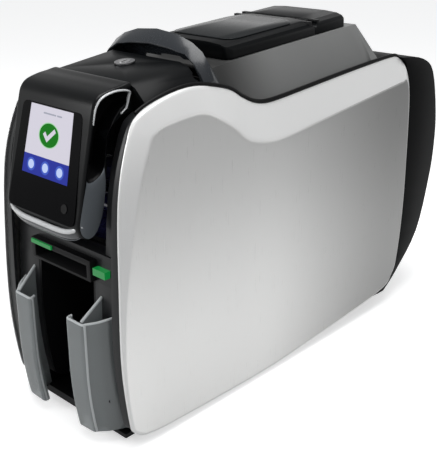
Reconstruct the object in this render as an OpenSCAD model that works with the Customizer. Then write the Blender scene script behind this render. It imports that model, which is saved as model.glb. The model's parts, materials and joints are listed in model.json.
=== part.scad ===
// Desktop card printer: two dished side panels round a narrow core, a hinged front cover that
// carries the display head, a hinged hopper lid, an output bin with clear guards, a ribbon
// station and a belt-driven card path.
// Frame: front faces -Y, right side +X, up +Z, origin on the floor under the middle.

/* [Overall] */
// Overall width across the side panels
body_w = 130; // [128:0.5:136]
// Overall length, chin to rear housing
body_len = 398; // [394:1:406]
// Height of the collar crest, the highest point
body_h = 266; // [264:0.5:270]
// Height of the feet
foot_h = 5; // [4:0.5:6]
// Radius of a foot
foot_r = 8; // [6:0.5:10]

/* [Side panels] */
// Depth of a side panel's dish across the width
panel_depth = 10.5; // [10:0.25:11.5]
// Wall of a side panel
panel_t = 2.2; // [1.8:0.1:2.4]
// Gap between a side panel and the core beside it
panel_gap = 0.5; // [0.4:0.1:0.8]
// Lowest point of a side panel above the floor
panel_z0 = 3.5; // [2.5:0.5:4.5]
// Height of the side panel's front shoulder
panel_h = 237.3; // [235:0.1:239]
// Steepness of the bevel, depth per width
bevel_k = 0.5; // [0.42:0.02:0.52]
// Facets between two outline stations
fine = 3; // [2:1:4]

/* [Core] */
// Wall of the moulded skins
skin_t = 2.4; // [2:0.1:2.8]
// Thickness of a steel frame plate
frame_t = 2; // [1.6:0.1:2.2]
// Space between the skins and the frame plates
frame_gap = 2.1; // [2:0.1:2.6]
// Inset of the frame plates behind the panel outline
frame_inset = 7; // [6.5:0.5:9]
// Inset of the fascia behind the panel outline
fascia_inset = 8; // [7:0.5:9]
// Thickness of the base tray
tray_t = 3; // [2.5:0.5:4]
// Height of the parting line between upper and lower fascia
fascia_split = 137; // [136:0.5:139]

/* [Head and cover] */
// Half width of the display head
head_hw = 40; // [39.5:0.25:40.5]
// Lean of the display face from upright
face_lean = 13.3; // [12.5:0.1:14]
// Height of the head's chin
chin_z = 156; // [155:0.5:158]
// Height where the face turns into the top
brow_z = 231; // [230:0.5:232]
// Half width of the cover hump
hump_hw = 52.3; // [52:0.1:52.6]
// Slope of the cover's top
cover_slope = 7.5; // [7:0.1:8]
// Radius of the cover's hinge knuckles
cover_knuckle_r = 4; // [3.6:0.1:4.2]
// Radius of the cover's hinge pin
cover_pin_r = 2; // [1.6:0.1:2.4]
// Width of the screen's lit area
screen_w = 44; // [40:1:46]
// Height of the screen's lit area
screen_h = 45; // [40:1:48]
// Radius of the key lock's plug
lock_r = 4; // [3.6:0.1:4.6]
// Running clearance of pins and shafts
fit = 0.06; // [0.04:0.01:0.09]

/* [Hopper lid] */
// Height of the deck at the lid's front edge
deck_z = 244.6; // [244:0.2:245]
// Slope of the deck and the lid
deck_slope = 4; // [3.8:0.1:4.1]
// Half width of the lid
lid_hw = 39; // [38:0.5:39.5]
// Height of the lid over the deck at its middle
lid_h = 11.8; // [11:0.2:12]
// Radius of the lid's hinge pin
lid_pin_r = 1.5; // [1.2:0.1:1.8]
// Width of the gloss pad on the lid
pad_w = 62; // [56:1:64]
// Length of the gloss pad
pad_len = 76; // [70:1:80]

/* [Cards] */
// Width of a card
card_w = 54; // [53:0.5:55]
// Length of a card
card_len = 85.6; // [84:0.2:87]
// Play round the cards in a hopper
card_play = 2; // [1.5:0.25:2.5]
// Height of the card path
path_z = 122; // [121:0.5:123]
// Wall of the hoppers
bin_t = 2; // [1.6:0.1:2.4]
// Height of a full stack above the output bin's floor
bin_h = 98; // [92:1:98]

/* [Guards] */
// Wall of a clear guard
guard_t = 2; // [1.6:0.1:2.4]
// Gap between the two guard lips
guard_gap = 42; // [38:1:46]
// Height of the guards' front lips
guard_top = 90; // [86:1:94]

/* [Drive] */
// Radius of the platen roller
platen_r = 7; // [6:0.5:7.5]
// Radius of the transport rollers
feed_r = 5; // [4.5:0.1:5.5]
// Radius of the roller shafts
shaft_r = 2.5; // [2.2:0.1:2.8]
// Radius of the transport rollers' pulleys
pulley_r = 7; // [6:0.5:7.5]
// Radius of the motor's pulley
motor_pulley_r = 5; // [4:0.5:6]
// Width of the belt
belt_w = 4; // [3:0.5:5]
// Thickness of the belt
belt_t = 1.2; // [1:0.1:1.5]

/* [Ribbon] */
// Radius of the full supply roll
supply_r = 11; // [9:0.5:11.5]
// Radius of the take-up roll
takeup_r = 8; // [7:0.5:9]
// Radius of a ribbon core
core_r = 5.5; // [5:0.1:6]

/* [Hidden] */
$fn = 48;
yf = -body_len / 2;
yr = body_len / 2;
hw = body_w / 2;
rim_x = hw - panel_depth;
core_hw = rim_x - panel_gap;
frame_x1 = core_hw - skin_t - frame_gap;
frame_x0 = frame_x1 - frame_t;
tray_z1 = foot_h + tray_t;

// ---- helpers -------------------------------------------------------------

// extrudes a (y, z) outline along X from x0 to x1
module along_x(x0, x1) {
  translate([x0, 0, 0]) rotate([90, 0, 90]) linear_extrude(x1 - x0) children();
}
// extrudes an (x, z) outline along Y from y0 to y1
module along_y(y0, y1) {
  translate([0, y1, 0]) rotate([90, 0, 0]) linear_extrude(y1 - y0) children();
}
module box(x0, x1, y0, y1, z0, z1) {
  translate([x0, y0, z0]) cube([x1 - x0, y1 - y0, z1 - z0]);
}
// a rod along X
module rod(x0, x1, y, z, r) {
  translate([x0, y, z]) rotate([0, 90, 0]) cylinder(h = x1 - x0, r = r);
}
module both() {
  children();
  mirror([1, 0, 0]) children();
}
module rounded(w, l, r) {
  translate([-w / 2 + r, -l / 2]) square([w - 2 * r, l]);
  translate([-w / 2, -l / 2 + r]) square([w, l - 2 * r]);
  for (i = [-1, 1]) for (j = [-1, 1])
    translate([i * (w / 2 - r), j * (l / 2 - r)]) circle(r);
}
// closed smooth curve through the points P, n steps between neighbours
function cr(a, b, c, d, t) =
  0.5 * (2 * b + (c - a) * t + (2 * a - 5 * b + 4 * c - d) * t * t
  + (3 * b - a - 3 * c + d) * t * t * t);
function smooth(P, n) = let (m = len(P)) [
  for (i = [0 : m - 1]) for (k = [0 : n - 1])
    cr(P[(i + m - 1) % m], P[i], P[(i + 1) % m], P[(i + 2) % m], k / n)
];
// open smooth curve through the points P
function smooth_open(P, n) = let (m = len(P)) [
  for (i = [0 : m - 2]) for (k = [0 : n - 1])
    cr(P[max(i - 1, 0)], P[i], P[i + 1], P[min(i + 2, m - 1)], k / n),
  P[m - 1]
];
function unit(v) = v / norm(v);
function mirrored(P) = concat(
  [for (i = [len(P) - 1 : -1 : 0]) [-P[i][0], P[i][1]]], P
);
function at_x(x, ring) = [for (p = ring) [x, p[0], p[1]]];
function at_y(y, ring) = [for (p = ring) [p[0], y, p[1]]];
// skin between equal rings of points, closed with a cap at each end
module loft(rings) {
  m = len(rings[0]);
  n = len(rings);
  polyhedron(
    points = [for (r = rings) for (p = r) p],
    faces = [
      [for (i = [0 : m - 1]) i],
      [for (i = [m - 1 : -1 : 0]) (n - 1) * m + i],
      for (k = [0 : n - 2]) for (i = [0 : m - 1]) let (j = (i + 1) % m)
        [k * m + i, (k + 1) * m + i, (k + 1) * m + j],
      for (k = [0 : n - 2]) for (i = [0 : m - 1]) let (j = (i + 1) % m)
        [k * m + i, (k + 1) * m + j, k * m + j]
    ],
    convexity = 6
  );
}

// ---- side panels ------------------------------------------------------------

// stations of the outline: [y, z, then the way inward to the crown of the bevel]
ph = panel_h;
pz = panel_z0;
edge = 1.5;
stations = [
  [yf + 14, pz + 21, edge, 0], [yf + 9.6, pz + 63, 2, 0], [yf + 10.5, 116.6, 5, 0],
  [yf + 16.4, ph - 59, 12, -1], [yf + 27.2, ph - 22.6, 11.7, -7], [yf + 37.9, ph - 9.6, 7.5, -10],
  [yf + 62.9, ph - 1.7, 2.5, -14], [yf + 89, ph, -0.5, -16], [yf + 118.5, ph - 6.5, -6.4, -22],
  [yf + 133.8, ph - 14.8, -6.4, -26], [yf + 147, ph - 20.9, -0.5, -26],
  [yf + 163, ph - 22.4, 2.8, -25],
  [yr - 136.6, ph - 14.9, 1.8, -23], [yr - 83, ph - 11.4, -1, -21], [yr - 67.7, ph - 13.2, -5, -18],
  [yr - 60.7, ph - 23.3, -5.6, -8], [yr - 58.2, ph - 47, -2.8, -1], [yr - 56.4, ph - 96, -edge, 0],
  [yr - 55.3, 89, -edge, 0], [yr - 58.4, pz + 44.5, -edge, 0], [yr - 64.5, pz + 23.5, -edge, edge],
  [yr - 88.7, pz + 11.8, 0, edge], [yr - 201, pz + 2.7, 0, edge], [yf + 146, pz + 0.5, 0, edge],
  [yf + 66, pz + 1.9, 0, edge], [yf + 32, pz + 3.9, edge, edge], [yf + 20, pz + 9.4, edge, edge]
];
ring4 = smooth(stations, fine);
nr = len(ring4);
ring_way = [for (p = ring4) [p[2], p[3]]];
function inward(i) = let (
    a = ring4[(i + nr - 1) % nr], b = ring4[(i + 1) % nr],
    d = unit([b[0] - a[0], b[1] - a[1]])
  ) [d[1], -d[0]];
// the outline moved inward by g, as (y, z) points
function outline(g) = [
  for (i = [0 : nr - 1]) [ring4[i][0], ring4[i][1]] + g * inward(i)
];
// bevelled dish of one wall thickness, open towards the core
module dish(t) {
  a = outline(0);
  b = outline(t);
  deep = [for (w = ring_way) bevel_k * min(norm(w), 19)];
  loft([
    at_x(hw, a + ring_way),
    [for (i = [0 : nr - 1]) [hw - deep[i], a[i][0], a[i][1]]],
    at_x(rim_x, a),
    at_x(rim_x, b),
    [for (i = [0 : nr - 1]) [max(rim_x + 0.4, hw - t - deep[i]), b[i][0], b[i][1]]],
    at_x(hw - t, b + ring_way)
  ]);
}
// core slice that follows the panel outline
module core(g, x0, x1) {
  along_x(x0, x1) polygon(outline(g));
}
// posts on the frame plates that carry the side panels: [y, z]
posts = [
  [yf + 40, 70], [yf + 64, 168], [yf + 175, 24], [yf + 185, 180], [yr - 86, 36], [yr - 86, 185]
];
post_r = 4;
module side_panel() {
  color([0.8, 0.8, 0.81]) dish(panel_t);
}
module side_panel_right() side_panel();
module side_panel_left() mirror([1, 0, 0]) side_panel();

// ---- chassis --------------------------------------------------------------

tray_y0 = yf + 19;
tray_y1 = yr - 70;
frame_y0 = yf + 34;
fascia_y1 = yf + 31;
foot_x = frame_x0 - 12;
foot_y = [tray_y0 + 30, tray_y1 - 18];
module base_tray() {
  color([0.09, 0.09, 0.1]) {
    box(-core_hw, core_hw, tray_y0, tray_y1, foot_h, tray_z1);
    // turned-up ribs inside the frame plates
    both() box(frame_x0 - 3, frame_x0, frame_y0 + 20, tray_y1 - 20, tray_z1 - 0.5, tray_z1 + 8);
    // cross ribs behind the output bin
    for (y = [bin_y1 + 20 : 50 : tray_y1 - 30])
      box(-frame_x0 + 2, frame_x0 - 2, y, y + 2, tray_z1 - 0.5, tray_z1 + 5);
  }
}
module feet() {
  color([0.05, 0.05, 0.05]) both() for (y = foot_y) translate([foot_x, y, 0])
    cylinder(h = foot_h, r = foot_r);
}

// shaft places: [y, z]
platen_p = [yf + 64, path_z - platen_r];
exit_p = [yf + 41, path_z - feed_r];
transport_p = [yf + 108, path_z - feed_r];
pick_p = [yf + 196, path_z - feed_r];
motor_p = [yf + 150, 70];
shafts = [platen_p, exit_p, transport_p, pick_p];

module frame_plate() {
  color([0.6, 0.61, 0.62]) difference() {
    union() {
      intersection() {
        core(frame_inset, frame_x0, frame_x1);
        box(frame_x0 - 1, frame_x1 + 1, frame_y0, tray_y1, tray_z1, fascia_split - 8);
      }
      intersection() {
        fascia_slice(fascia_inset / 2 + skin_t + 0.8, frame_x0, frame_x1);
        box(frame_x0 - 1, frame_x1 + 1, frame_y0, tray_y1, fascia_split - 8.5, body_h);
      }
      for (p = posts) rod(frame_x0 + 0.5, hw - panel_t, p[0], p[1], post_r);
    }
    for (s = shafts) rod(frame_x0 - 1, frame_x1 + 1, s[0], s[1], shaft_r + fit);
    rod(frame_x0 - 1, frame_x1 + 1, motor_p[0], motor_p[1], 8);
    // lightening windows: [y, z, length, height]
    for (w = [[yf + 176, 40, 60, 55], [yf + 255, 40, 50, 60], [yf + 225, 140, 60, 50]])
      box(frame_x0 - 1, frame_x1 + 1, w[0], w[0] + w[2], w[1], w[1] + w[3]);
  }
}
module frame_right() frame_plate();
module frame_left() mirror([1, 0, 0]) frame_plate();

// ---- head and cover ---------------------------------------------------------

// the face is the plane through the brow that leans back by face_lean
chin_y = yf + 0.4;
brow_y = chin_y + (brow_z - chin_z) * tan(face_lean);
face_len = (brow_z - chin_z) / cos(face_lean);
// hinge of the cover and its top line
hinge_y = yf + 96.5;
crest_z = body_h - 16.5;
hinge_z = crest_z - 8.5;
function crest(y) = crest_z + (y - hinge_y) * tan(cover_slope);
cover_y0 = hinge_y - 47.5;
cover_y1 = hinge_y - 0.5;
// how far the cover opens, in degrees, and what stays clear of it there
cover_open = 70;
cover_gap = 0.8;
// side profile of the head, g inside its outer faces
function head_profile(g) = concat(
  [[chin_y + 12, chin_z - 6.5 + g], [chin_y + 5 + g * 0.5, chin_z - 9.5 + g]],
  [[chin_y + 1 + g, chin_z - 6 + g * 0.7], [chin_y + g, chin_z + g * 0.3]],
  [[brow_y + g, brow_z - g * 0.3]],
  [[brow_y + 2.2 + g * 0.9, brow_z + 4.6 - g * 0.6], [brow_y + 6 + g * 0.6, brow_z + 7.6 - g * 0.8]],
  [[brow_y + 12 + g * 0.3, crest(brow_y + 12) - g], [cover_y0, crest(cover_y0) - g]],
  [[cover_y0, crest_z - 24], [chin_y + 38 - g, crest_z - 27], [chin_y + 28 - g, crest_z - 34]],
  [[chin_y + 24.5 - g, chin_z + 34], [chin_y + 21.5 - g, chin_z + 10]],
  [[chin_y + 17 - g, chin_z]]
);
// half section of the hump, g outside it, measured down from the crest
function hump_half(g) = [
  [34, -0.4 + g], [42 + g * 0.6, -3 + g * 0.9], [hump_hw + g, -12.5 + g * 0.3],
  [hump_hw + g, -14.5]
];
// the hump, g outside its faces, between two upright planes
module hump(g, y0, y1, drop) {
  intersection() {
    translate([0, hinge_y, crest_z]) rotate([cover_slope, 0, 0])
      along_y(-75, 20) polygon(mirrored(concat(hump_half(g), [[hump_hw + g, -14.5 - drop]])));
    box(-80, 80, y0, y1, 0, 400);
  }
}
// the hump as it stands with the cover open, g outside its faces
module hump_open(g) {
  translate([0, hinge_y, hinge_z]) rotate([-cover_open, 0, 0]) translate([0, -hinge_y, -hinge_z])
    hump(g, cover_y0, cover_y1 + g, 0);
}
knuckle_x = 27;
knuckle_hl = 7;
fixed_x = 13;
fixed_hl = 6;
lock_y = hinge_y - 19;
module at_lock() {
  translate([0, lock_y, crest(lock_y)]) rotate([cover_slope, 0, 0]) children();
}
module cover_shell() {
  color([0.1, 0.1, 0.11]) difference() {
    union() {
      difference() {
        hump(0, cover_y0, cover_y1, 0);
        hump(-skin_t, cover_y0 - 1, cover_y1 + 1, 30);
      }
      // knuckles hang from the top skin
      for (s = [-1, 1]) {
        rod(s * knuckle_x - knuckle_hl, s * knuckle_x + knuckle_hl, hinge_y, hinge_z, cover_knuckle_r);
        box(s * knuckle_x - knuckle_hl, s * knuckle_x + knuckle_hl, hinge_y - cover_knuckle_r,
          cover_y1 - 0.5, hinge_z, crest_z - 1.2);
      }
    }
    rod(-50, 50, hinge_y, hinge_z, cover_pin_r + fit);
    at_lock() translate([0, 0, -20]) cylinder(h = 40, r = lock_r + 2);
  }
}
// rounded quarter of a section: half width w, top t, corner radii a across and b down
function shoulder(w, t, a, b) = [
  for (i = [0 : 6]) [w - a + a * sin(15 * i), t - b + b * cos(15 * i)]
];
// outer form of the head, g inside its faces, with rounded shoulders and front edges
module head_block(g) {
  intersection() {
    along_x(-head_hw + g, head_hw - g) polygon(head_profile(g));
    translate([0, hinge_y, crest_z]) rotate([cover_slope, 0, 0]) along_y(-120, 40)
      polygon(mirrored(concat(shoulder(head_hw - g, 0.4 - g, 13, 9), [[head_hw - g, -140]])));
    face() translate([0, 160, 0]) rotate([90, 0, 0]) linear_extrude(320)
      polygon(mirrored(concat(shoulder(head_hw - g, 0.2 - g, 6.5, 5), [[head_hw - g, -90]])));
  }
}
// places children on the face: x right, y up the face from the chin, z outward
module face() {
  translate([0, chin_y, chin_z]) rotate([90 - face_lean, 0, 0]) children();
}
glass_v0 = 4;
glass_v1 = face_len - 1;
glass_top_hw = 24.5;
glass_low_hw = 34;
module glass_outline() {
  hull() {
    for (s = [-1, 1]) {
      translate([s * (glass_top_hw - 2), glass_v1 - 2]) circle(r = 2, $fn = 24);
      translate([s * (glass_low_hw - 7), glass_v0 + 7]) circle(r = 7, $fn = 32);
    }
  }
}
glass_out = 0.3;
glass_t = 2;
grip_depth = 11;
// front edge of the face at height z
function face_y(z) = chin_y + (z - chin_z) * tan(face_lean);
grip_z0 = chin_z + 30;
grip_z1 = brow_z - 4;
grip_front = 4.5;
// finger scoop in the head's side, g larger all round
module grip_form(g, x0) {
  ya = face_y(grip_z0) + grip_front;
  yb = face_y(grip_z1) + grip_front;
  along_x(x0, head_hw + 1) offset_ring(g, smooth([
    [ya, grip_z0 + 2], [(ya + yb) / 2, (grip_z0 + grip_z1) / 2], [yb, grip_z1],
    [yb + 7, grip_z1 + 6.5], [yb + 16, grip_z1 + 7], [yb + 20, grip_z1 + 2],
    [yb + 13, grip_z1 - 9], [chin_y + 23, grip_z0 + 12], [chin_y + 20, grip_z0 + 4]
  ], 3));
}
// closed ring of points moved out by g
module offset_ring(g, P) {
  n = len(P);
  polygon([
    for (i = [0 : n - 1]) let (
      a = P[(i + n - 1) % n], b = P[(i + 1) % n], d = unit([b[0] - a[0], b[1] - a[1]])
    ) P[i] + g * [-d[1], d[0]]
  ]);
}
module chin_form() {
  along_x(-head_hw + 3, head_hw - 3) polygon([
    [chin_y - 0.4, chin_z - 0.5], [chin_y + 0.6, chin_z - 6.5], [chin_y + 5, chin_z - 10.2],
    [chin_y + 12, chin_z - 7.2], [chin_y + 12, chin_z - 5.6], [chin_y + 5.6, chin_z - 8],
    [chin_y + 2.2, chin_z - 5], [chin_y + 1.6, chin_z - 0.5]
  ]);
}
module head_shell() {
  color([0.11, 0.11, 0.12]) difference() {
    head_block(0);
    head_block(skin_t);
    // joins the cover behind
    box(-head_hw + skin_t, head_hw - skin_t, cover_y0 - 5, cover_y0 + 1, crest_z - 21, crest_z - 9.5);
    face() translate([0, 0, glass_out - glass_t]) linear_extrude(20) glass_outline();
    both() grip_form(0, head_hw - grip_depth);
    chin_form();
    // windows behind the glass for the screen and the button
    face() {
      translate([-screen_w / 2 - 0.5, screen_v0 - 0.5, -6]) cube([screen_w + 1, screen_h + 1, 6]);
      translate([button_p[0], button_p[1], -6]) cylinder(h = 8, r = button_r + 1.3);
    }
  }
}
module grip() {
  color([0.03, 0.03, 0.03]) {
    difference() {
      intersection() {
        grip_form(0, head_hw - grip_depth);
        head_block(0);
      }
      grip_form(-1.2, head_hw - grip_depth + 1.2);
    }
  }
}
module grip_right() grip();
module grip_left() mirror([1, 0, 0]) grip();
module chin_trim() {
  color([0.5, 0.5, 0.51]) chin_form();
}
button_p = [24, glass_v0 + 9];
button_r = 3;
module display_glass() {
  color([0.02, 0.02, 0.02]) difference() {
    face() translate([0, 0, glass_out - glass_t]) linear_extrude(glass_t) glass_outline();
    face() translate([button_p[0], button_p[1], -5]) cylinder(h = 10, r = button_r + 0.3);
  }
}
screen_v0 = face_len - 4.5 - screen_h;
screen_t = 2.5;
module screen_panel() {
  color([0.9, 0.9, 0.92]) face()
    translate([-screen_w / 2, screen_v0, glass_out - glass_t - screen_t])
      cube([screen_w, screen_h, screen_t]);
}
board_z = glass_out - glass_t - screen_t - 2.2;
module display_board() {
  color([0.1, 0.35, 0.15]) face() {
    translate([-25, 8, board_z - 1.6]) cube([50, face_len - 14, 1.6]);
    // pegs up to the screen
    for (s = [-1, 1]) for (v = [screen_v0 + 3, screen_v0 + screen_h - 3])
      translate([s * (screen_w / 2 - 3), v, board_z]) cylinder(h = 2.2, r = 1.5);
    // spring dome under the button
    translate([button_p[0], button_p[1], board_z]) cylinder(h = 1, r = 2);
  }
}
module power_button() {
  color([0.05, 0.05, 0.05]) face() translate([button_p[0], button_p[1], 0]) {
    translate([0, 0, board_z + 2]) cylinder(h = glass_out + 0.4 - board_z - 2, r = button_r);
    translate([0, 0, board_z + 2]) cylinder(h = 1, r = button_r + 1);
  }
}
module cover_hinge_pin() {
  color([0.7, 0.7, 0.7])
    rod(-knuckle_x - knuckle_hl, knuckle_x + knuckle_hl, hinge_y, hinge_z, cover_pin_r);
}
// wall between the ribbon bay and the hopper, with the fixed knuckles of the cover's hinge
bulk_y0 = hinge_y + 9.5;
module bulkhead() {
  color([0.1, 0.1, 0.1]) difference() {
    union() {
      box(-frame_x0, frame_x0, bulk_y0, bulk_y0 + 2.5, path_z + 20, panel_h - 22);
      box(-frame_x0 + 3, frame_x0 - 3, bulk_y0, bulk_y0 + 2.5, panel_h - 22.5, hinge_z - 3);
      for (s = [-1, 1]) {
        rod(s * fixed_x - fixed_hl, s * fixed_x + fixed_hl, hinge_y, hinge_z, cover_knuckle_r);
        box(s * fixed_x - fixed_hl, s * fixed_x + fixed_hl, hinge_y, bulk_y0 + 2.5,
          hinge_z - cover_knuckle_r, hinge_z);
      }
    }
    rod(-50, 50, hinge_y, hinge_z, cover_pin_r);
  }
}
module lock_ring() {
  color([0.2, 0.2, 0.2]) at_lock() difference() {
    union() {
      translate([0, 0, -6]) cylinder(h = 6, r = lock_r + 2);
      cylinder(h = 0.8, r = lock_r + 3);
    }
    translate([0, 0, -7]) cylinder(h = 10, r = lock_r + fit);
  }
}
module lock_plug() {
  color([0.35, 0.35, 0.36]) at_lock() {
    difference() {
      translate([0, 0, -10]) cylinder(h = 11, r = lock_r);
      translate([-0.6, -lock_r + 1.4, -2]) cube([1.2, 2 * lock_r - 2.8, 4]);
    }
    // cam
    translate([-2, -9, -12]) cube([4, 12, 2.1]);
  }
}

// ---- fascia, output bin and guards ------------------------------------------------

flank_x = head_hw + 0.8;
// core slice set back by g at the front and by half of it at the top
module fascia_slice(g, x0, x1) {
  translate([0, fascia_inset / 2, 0]) core(g, x0, x1);
}
module fascia_upper() {
  color([0.12, 0.12, 0.13]) difference() {
    intersection() {
      fascia_slice(fascia_inset / 2, -core_hw, core_hw);
      both() box(flank_x, core_hw, yf, cover_y0 - 1, fascia_split, body_h);
    }
    fascia_slice(fascia_inset / 2 + skin_t, -core_hw - 1, core_hw + 1);
  }
}
bin_hw = card_w / 2 + card_play;
bin_top = tray_z1 + bin_h;
bezel_hw = card_w / 2 + 5;
module fascia_lower() {
  color([0.12, 0.12, 0.13]) difference() {
    intersection() {
      core(fascia_inset, -core_hw, core_hw);
      box(-core_hw, core_hw, yf, fascia_y1, tray_z1, fascia_split - 0.6);
    }
    intersection() {
      core(fascia_inset + skin_t, -core_hw + skin_t, core_hw - skin_t);
      box(-core_hw, core_hw, yf, yf + 50, 0, fascia_split - 0.6 - skin_t);
    }
    box(-bin_hw - bin_t, bin_hw + bin_t, yf, yf + 50, 0, path_z - 5);
    bezel_form();
  }
}
bin_y0 = yf + 17;
bin_y1 = yf + 6 + card_len + card_play;
module output_bin() {
  color([0.03, 0.03, 0.03]) {
    intersection() {
      both() {
        box(bin_hw, bin_hw + bin_t, bin_y0, bin_y1, tray_z1, bin_top);
        box(bin_hw, bin_hw + bin_t, bin_y0, exit_p[0] - feed_r - 1, bin_top - 1, path_z - 5);
      }
      core(fascia_inset + 0.3, -bin_hw - bin_t, bin_hw + bin_t);
    }
    box(-bin_hw - bin_t, bin_hw + bin_t, bin_y1 - bin_t, bin_y1, tray_z1, bin_top);
    // floor with a shallow ramp to the back
    along_x(-bin_hw - bin_t, bin_hw + bin_t) polygon([
      [bin_y0, tray_z1], [bin_y1, tray_z1], [bin_y1, tray_z1 + 2.5], [bin_y0, tray_z1 + 5]
    ]);
  }
}
// guard corner, and the places of its two walls where they meet the fascia
guard_x = core_hw - 14.4;
flare_x = core_hw - 4;
inner_x = guard_x - 6;
guard_y1 = yf + 26;
function flare_at(y) = guard_x + (flare_x - guard_x) * (y - yf - 1.6) / (guard_y1 - yf - 1.6);
// studs that hold the guards: place and radius
clip_y = yf + 14;
clip_z = [tray_z1 + 26, guard_top - 20];
clip_r = 1.6;
module guard() {
  g0 = guard_gap / 2;
  color([0.7, 0.72, 0.74]) intersection() {
    difference() {
      translate([0, 0, tray_z1 - 4]) linear_extrude(guard_top + 30) difference() {
        polygon([
          [flare_x, guard_y1], [guard_x, yf + 1.6], [guard_x - 1.6, yf], [g0 + 1, yf], [g0, yf + 1],
          [g0, yf + guard_t - 0.2], [g0 + 0.5, yf + guard_t], [inner_x, yf + guard_t],
          [inner_x, guard_y1]
        ]);
        polygon([
          [flare_x - guard_t, guard_y1 + 1], [guard_x - 1.8, yf + guard_t + 2],
          [guard_x - 3, yf + guard_t + 1], [inner_x + guard_t, yf + guard_t + 2],
          [inner_x + guard_t, guard_y1 + 1]
        ]);
      }
      core(fascia_inset, -1, core_hw + 1);
      for (z = clip_z) rod(inner_x + guard_t + 0.5, core_hw, clip_y, z, clip_r + fit);
      box(-1, core_hw + 1, tray_y0 - 0.2, guard_y1 + 1, 0, tray_z1);
      // top: level round the outside, rising along the inner wall
      along_x(inner_x + guard_t, core_hw) polygon([
        [yf - 1, guard_top], [yf + 30, guard_top + 5], [yf + 30, 200], [yf - 1, 200]
      ]);
      along_x(0, inner_x + guard_t + 0.01) polygon([
        [yf - 1, guard_top], [yf + 3, guard_top], [yf + 19, guard_top + 14], [yf + 30, 200],
        [yf - 1, 200]
      ]);
    }
    // foot of the guard curves back a little
    along_x(0, core_hw) polygon(concat(
      smooth_open([[yf + 7, tray_z1 - 5], [yf + 4.4, tray_z1 + 2], [yf + 2.6, tray_z1 + 16],
        [yf + 1, tray_z1 + 42], [yf, tray_z1 + 75]], 4),
      [[yf, 200], [yf + 40, 200], [yf + 40, tray_z1 - 5]]
    ));
  }
}
module guard_right() guard();
module guard_left() mirror([1, 0, 0]) guard();
module guard_clips() {
  color([0.04, 0.04, 0.04]) both() for (z = clip_z)
    rod(flare_at(clip_y) - 3, flare_at(clip_y) + 1.4, clip_y, z, clip_r);
}
module bezel_form() {
  box(-bezel_hw, bezel_hw, yf + 14, yf + 24, path_z - 5, path_z + 10);
}
module slot_bezel() {
  color([0.04, 0.04, 0.04]) difference() {
    bezel_form();
    along_x(-card_w / 2 - 1, card_w / 2 + 1) polygon([
      [yf + 13, path_z - 3.5], [yf + 25, path_z - 1], [yf + 25, path_z + 3.4], [yf + 13, path_z + 6]
    ]);
  }
}
module slot_light() {
  color([0.1, 0.8, 0.3]) box(-30, -8, yf + 12.6, yf + 14, path_z + 6.6, path_z + 9.4);
}
module bin_light() {
  color([0.1, 0.8, 0.3]) difference() {
    box(bezel_hw + 2, bezel_hw + 14, yf + 14.5, yf + 22, path_z + 1, path_z + 6);
    core(fascia_inset, 0, core_hw);
  }
}

// ---- collar, top shell and rear housing ----------------------------------------------

collar_y0 = hinge_y + 3;
collar_y1 = hinge_y + 11;
collar_y2 = hinge_y + 20;
collar_t = 1.8;
// half arches of the collar: front lip, crest, and the seat on the top shell
arch_front = [
  [0, -8.5], [20, -9.8], [34, -13], [43, -17.6], [49, -24], [core_hw - 0.4, -31], [core_hw, -35]
];
arch_crest = [
  [0, 0], [20, -1.8], [34, -6], [43, -11], [49, -18], [core_hw - 0.4, -28], [core_hw, -35]
];
seat_z = deck_z - 20.5 * tan(deck_slope) - body_h;
arch_seat = [
  [0, seat_z], [20, seat_z], [34, seat_z], [43, seat_z], [49, seat_z - 7],
  [core_hw - 0.4, ph - 7.6 - body_h], [core_hw, ph - 9 - body_h]
];
// the arch moved in by g, dropped by d at its ends
function arch_in(A, g) = [
  for (i = [0 : len(A) - 1]) let (s = A[i][0] / core_hw)
    [A[i][0] - g * min(1, s * s * 1.2), body_h + A[i][1] - g * (i > 4 ? 1 + (i - 4) * 3 : 1)]
];
function arch_full(A, g) = let (h = arch_in(A, g)) concat(
  [for (i = [len(h) - 1 : -1 : 1]) [-h[i][0], h[i][1]]], h
);
module collar() {
  color([0.25, 0.25, 0.26]) difference() {
    loft([
      at_y(collar_y0, arch_full(arch_front, 0)), at_y(collar_y1, arch_full(arch_crest, 0)),
      at_y(collar_y2, arch_full(arch_seat, 0))
    ]);
    loft([
      at_y(collar_y0 - 1, arch_full(arch_front, collar_t)),
      at_y(collar_y1, arch_full(arch_crest, collar_t)),
      at_y(collar_y2 + 1, arch_full(arch_seat, collar_t))
    ]);
    // the front lip gives way where the open cover leans over it
    hump_open(cover_gap);
  }
}
lid_y0 = yf + 137;
lid_y1 = lid_y0 + 98;
cap_y1 = yr - 126;
deck_y1 = yr - 113;
tail_y = yr - 96;
function deck(y) = deck_z + (y - lid_y0) * tan(deck_slope);
// sections of the top shell: [y, deck height, deck half width, height at the side]
tops = [
  [collar_y2, deck(collar_y2), 43, ph - 7.6], [yf + 126, deck(yf + 126), 42, ph - 11],
  [yf + 141, deck(yf + 141), 41.5, ph - 17.5], [yf + 160, deck(yf + 160), 41, ph - 21],
  [yr - 180, deck(yr - 180), 41, ph - 18.3], [cap_y1 + 1, deck(cap_y1 + 1), 41, ph - 14.4],
  [deck_y1, deck(deck_y1), 41, ph - 13], [deck_y1 + 7, deck(deck_y1) - 5.5, 40.5, ph - 12],
  [tail_y, ph - 3.5, 39, ph - 11.4]
];
skirt_z = 198;
module top_form(g, y0, y1) {
  loft([
    for (i = [0 : len(tops) - 1]) let (
      t = tops[i],
      y = i == 0 ? y0 : i == len(tops) - 1 ? y1 : t[0],
      z = t[1] - g, h = t[2] - g * 0.4, e = t[3] - g
    ) at_y(y, [
      [-core_hw + g, skirt_z - g * 2], [-core_hw + g, e], [-h, z], [h, z], [core_hw - g, e],
      [core_hw - g, skirt_z - g * 2]
    ])
  ]);
}
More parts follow.
